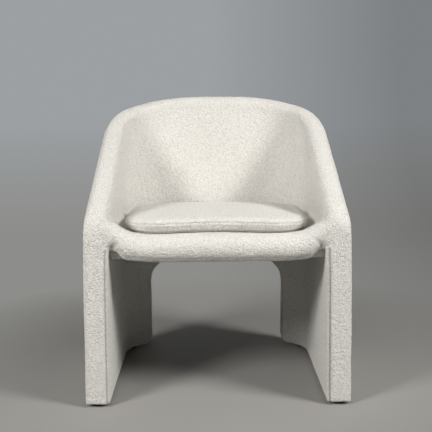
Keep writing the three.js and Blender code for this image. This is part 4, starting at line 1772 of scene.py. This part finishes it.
@dataclass(frozen=True)
class Studio:
    """A pale floor that sweeps up behind the chair, soft lamps and the camera."""

    focal_pixels: float = 775.0
    image_pixels: float = 432.0
    sensor: float = 36.0
    eye: tuple[float, float, float] = (-0.0204, -2.2218, 0.7899)
    pitch: float = math.radians(8.75)
    yaw: float = math.radians(0.52)
    roll: float = math.radians(0.45)
    floor_front: float = -16.0
    floor_back: float = 1.9
    sweep: float = 1.4
    sweep_steps: int = 24
    backdrop_top: float = 5.0
    half_width: float = 16.0
    ambient: float = 0.05
    surround_level: float = 0.72
    surround: Tint = (0.47, 0.48, 0.49, 1)
    paint_size: float = 0.9
    paint_roughness: tuple[float, float] = (0.6, 0.75)
    floor_tone: Tint = (0.334, 0.325, 0.306, 1)
    floor_mottle_tone: Tint = (0.316, 0.308, 0.291, 1)
    wall_glow: Tint = (0.332, 0.351, 0.364, 1)
    far_floor_glow: Tint = (0.268, 0.268, 0.258, 1)
    far_floor: tuple[float, float] = (0.52, 1.15)
    horizon: tuple[float, float] = (0.02, 0.62)
    wall_fade: float = 1.3
    side_shade: float = 0.37

    def camera(self) -> None:
        """Makes the camera at the photograph's place and angle."""
        data = bpy.data.cameras.new("camera")
        data.sensor_width = self.sensor
        data.lens = self.focal_pixels / self.image_pixels * self.sensor
        camera = bpy.data.objects.new("camera", data)
        bpy.context.scene.collection.objects.link(camera)
        camera.matrix_world = (
            Matrix.Translation(self.eye) @ Matrix.Rotation(-self.yaw, 4, "Z")
            @ Matrix.Rotation(math.pi / 2 - self.pitch, 4, "X")
            @ Matrix.Rotation(-self.roll, 4, "Z"))
        bpy.context.scene.camera = camera

    def backdrop(self) -> None:
        """Makes the floor and the backdrop in one sweep."""
        profile = [(self.floor_front, 0.0)]
        profile += [
            (self.floor_back + self.sweep * math.sin(turn), self.sweep * (1 - math.cos(turn)))
            for turn in quarter(self.sweep_steps)
        ]
        profile.append((self.floor_back + self.sweep, self.backdrop_top))

        def place(column: int, row: int) -> Vector:
            """The point at a side of the sweep, 0 or 1, and a row up its profile."""
            y, z = profile[row]
            return Vector(((2 * column - 1) * self.half_width, y, z))

        bm = mapped_grid(1, len(profile) - 1, place)
        bmesh.ops.recalc_face_normals(bm, faces=bm.faces)
        sweep = smoothed(bm, "studio_sweep")
        sweep.data.materials.append(self.sweep_material())
        sweep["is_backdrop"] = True

    def sweep_material(self) -> bpy.types.Material:
        """Paints the floor, and makes the wall and the far floor glow as painted light for camera
        and glossy rays, rising from the far floor's tone to the wall's, with painted shade to the
        right.

        Returns:
            The sweep's material.
        """
        material = Finish(
            "studio_paint", Mottle(), self.paint_size, self.floor_tone, self.floor_mottle_tone,
            self.paint_roughness, 0.0).material()
        tree = material.node_tree
        wiring = Wiring(tree)
        place = wiring.add("ShaderNodeTexCoord").outputs["Object"]
        across, depth, height = wiring.add("ShaderNodeSeparateXYZ", {0: place}).outputs
        rays = wiring.add("ShaderNodeLightPath").outputs
        seen = wiring.number("MAXIMUM", rays["Is Camera Ray"], rays["Is Glossy Ray"])
        seen = wiring.number("MAXIMUM", seen, rays["Is Transmission Ray"])
        spot = wiring.add("ShaderNodeCombineXYZ", {0: across, 1: depth}).outputs[0]
        far = wiring.ranged(wiring.vector("LENGTH", {0: spot}, "Value"), *self.far_floor)
        rise = wiring.ranged(height, *self.horizon)
        tone = wiring.mixed(rise, self.far_floor_glow, self.wall_glow)
        # Painted shade: the glow darkens towards the right.
        side = wiring.ranged(across, 0.0, self.wall_fade, (0.0, self.side_shade))
        tone = wiring.mixed(side, tone, BLACK)
        # Painted light: the wall and far floor emit this glow instead of being lit by the lamps.
        glow = wiring.add("ShaderNodeEmission", {"Color": tone, "Strength": 1.0}).outputs[0]
        output = next(node for node in tree.nodes if node.type == "OUTPUT_MATERIAL")
        paint = output.inputs["Surface"].links[0].from_socket
        share = wiring.number("MULTIPLY", far, seen)
        mix = wiring.add("ShaderNodeMixShader", {0: share, 1: paint, 2: glow}).outputs[0]
        tree.links.new(mix, output.inputs["Surface"])
        return material

    def light(self) -> None:
        """Lights the chair from both upper sides, from above and from low behind."""
        world = bpy.data.worlds.new("studio_world")
        world.use_nodes = True
        world.node_tree.nodes.clear()
        wiring = Wiring(world.node_tree)
        seen = wiring.add("ShaderNodeLightPath").outputs["Is Camera Ray"]
        strength = wiring.ranged(seen, *UNIT, (self.ambient, self.surround_level))
        sky = wiring.add("ShaderNodeBackground", {"Color": self.surround, "Strength": strength})
        wiring.add("ShaderNodeOutputWorld", {"Surface": sky.outputs[0]})
        bpy.context.scene.world = world
        for lamp in LAMPS:
            lamp.hang()

    def build(self) -> None:
        """Sets up the studio."""
        self.camera()
        self.backdrop()
        self.light()
        bpy.context.scene.view_settings.view_transform = "Standard"


class Chair:
    """The whole chair: its covers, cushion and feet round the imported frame."""

    def __init__(self) -> None:
        """Loads the frame, keeps its size, and makes the forms and finishes that pieces share."""
        self.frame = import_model()
        self.cad_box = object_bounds()
        self.wall = WallForm(front=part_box("arm_cover_left")[0].y)
        self.seat = SeatForm(self.wall)
        self.materials = {slot: finish.material() for slot, finish in FINISHES.items()}

    def dress_nodes(self) -> None:
        """Gives every node of the frame its finish."""
        for part in self.frame["record"]["subparts"]:
            mesh = self.frame["nodes"][part["node"]].data
            mesh.materials.clear()
            mesh.materials.append(self.materials[part["material_slot"]])

    def place(self, piece: bpy.types.Object, body: str, slot: str, nodes: Iterable[str]) -> None:
        """Gives a finished piece its finish and its body, and hides the frame's nodes that it
        replaces.

        Args:
            piece: the piece's object.
            body: the body that it rides on.
            slot: the finish's material slot.
            nodes: the frame's nodes that it replaces.
        """
        piece.data.materials.append(self.materials[slot])
        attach(piece, body)
        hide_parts(*nodes)
        LOG.info("%s: %d faces, rides on %s", piece.name, len(piece.data.polygons), body)

    def cover(self) -> None:
        """Adds the covers of the wall and the seat."""
        covers = Upholstery(self.wall, self.seat).build()
        for panel, piece in covers.items():
            nodes = [panel.node()]
            if panel is Panel.SEAT:
                nodes.append("seat_foam")
            self.place(piece, "chair", "boucle", nodes)

    def add_cushion(self) -> None:
        """Adds the loose cushion."""
        low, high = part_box("cushion_cover")
        zip_low, zip_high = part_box("zip_tape")
        swelling, forward, sunk = 0.0062, 0.006, 0.0075
        form = CushionForm(
            centre_y=(low.y + high.y) / 2 - forward, base=low.z - sunk,
            half_width=high.x - swelling, reach=(high.y - low.y) / 2 - swelling + forward,
            zip_y=(zip_low.y + zip_high.y) / 2, zip_half_length=zip_high.x)
        piece = Cushion(form, self.seat).build()
        self.place(piece, "cushion", "boucle", ["cushion_cover", "cushion_foam"])

    def wrap_rail(self) -> None:
        """Adds the cloth over the front rail, behind the lip."""
        rail_low, rail_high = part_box("seat_rail_front")
        dust_low, dust_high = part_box("dust_cover")
        clearance, half = 0.0003, RailWrap.thickness / 2
        wrap = RailWrap(
            half_width=rail_high.x, front=rail_low.y - 2 * clearance - half, top=rail_high.z,
            bottom=dust_high.z - half, behind=dust_low.y - clearance)
        self.place(wrap.build(), "chair", "boucle", [])

    def add_feet(self) -> None:
        """Adds the four glides."""
        for end in ("front", "rear"):
            for side in SIDES:
                node = f"glide_{end}_{side}"
                self.place(Glide(node).build(), "chair", "glide_plastic", [node])

    def write_sizes(self) -> None:
        """Gathers the frame's box and the finished chair's box."""
        boxes = {"cad": self.cad_box, "visual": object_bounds()}
        sizes = {name: [list(corner) for corner in box] for name, box in boxes.items()}

    def build(self) -> None:
        """Builds everything in order."""
        self.dress_nodes()
        self.cover()
        self.add_cushion()
        self.wrap_rail()
        self.add_feet()
        self.write_sizes()


def main() -> None:
    """Builds the chair and its studio."""
    logging.basicConfig(level=logging.INFO)
    chair = Chair()
    Studio().build()
    chair.build()


if __name__ == "__main__":
    main()
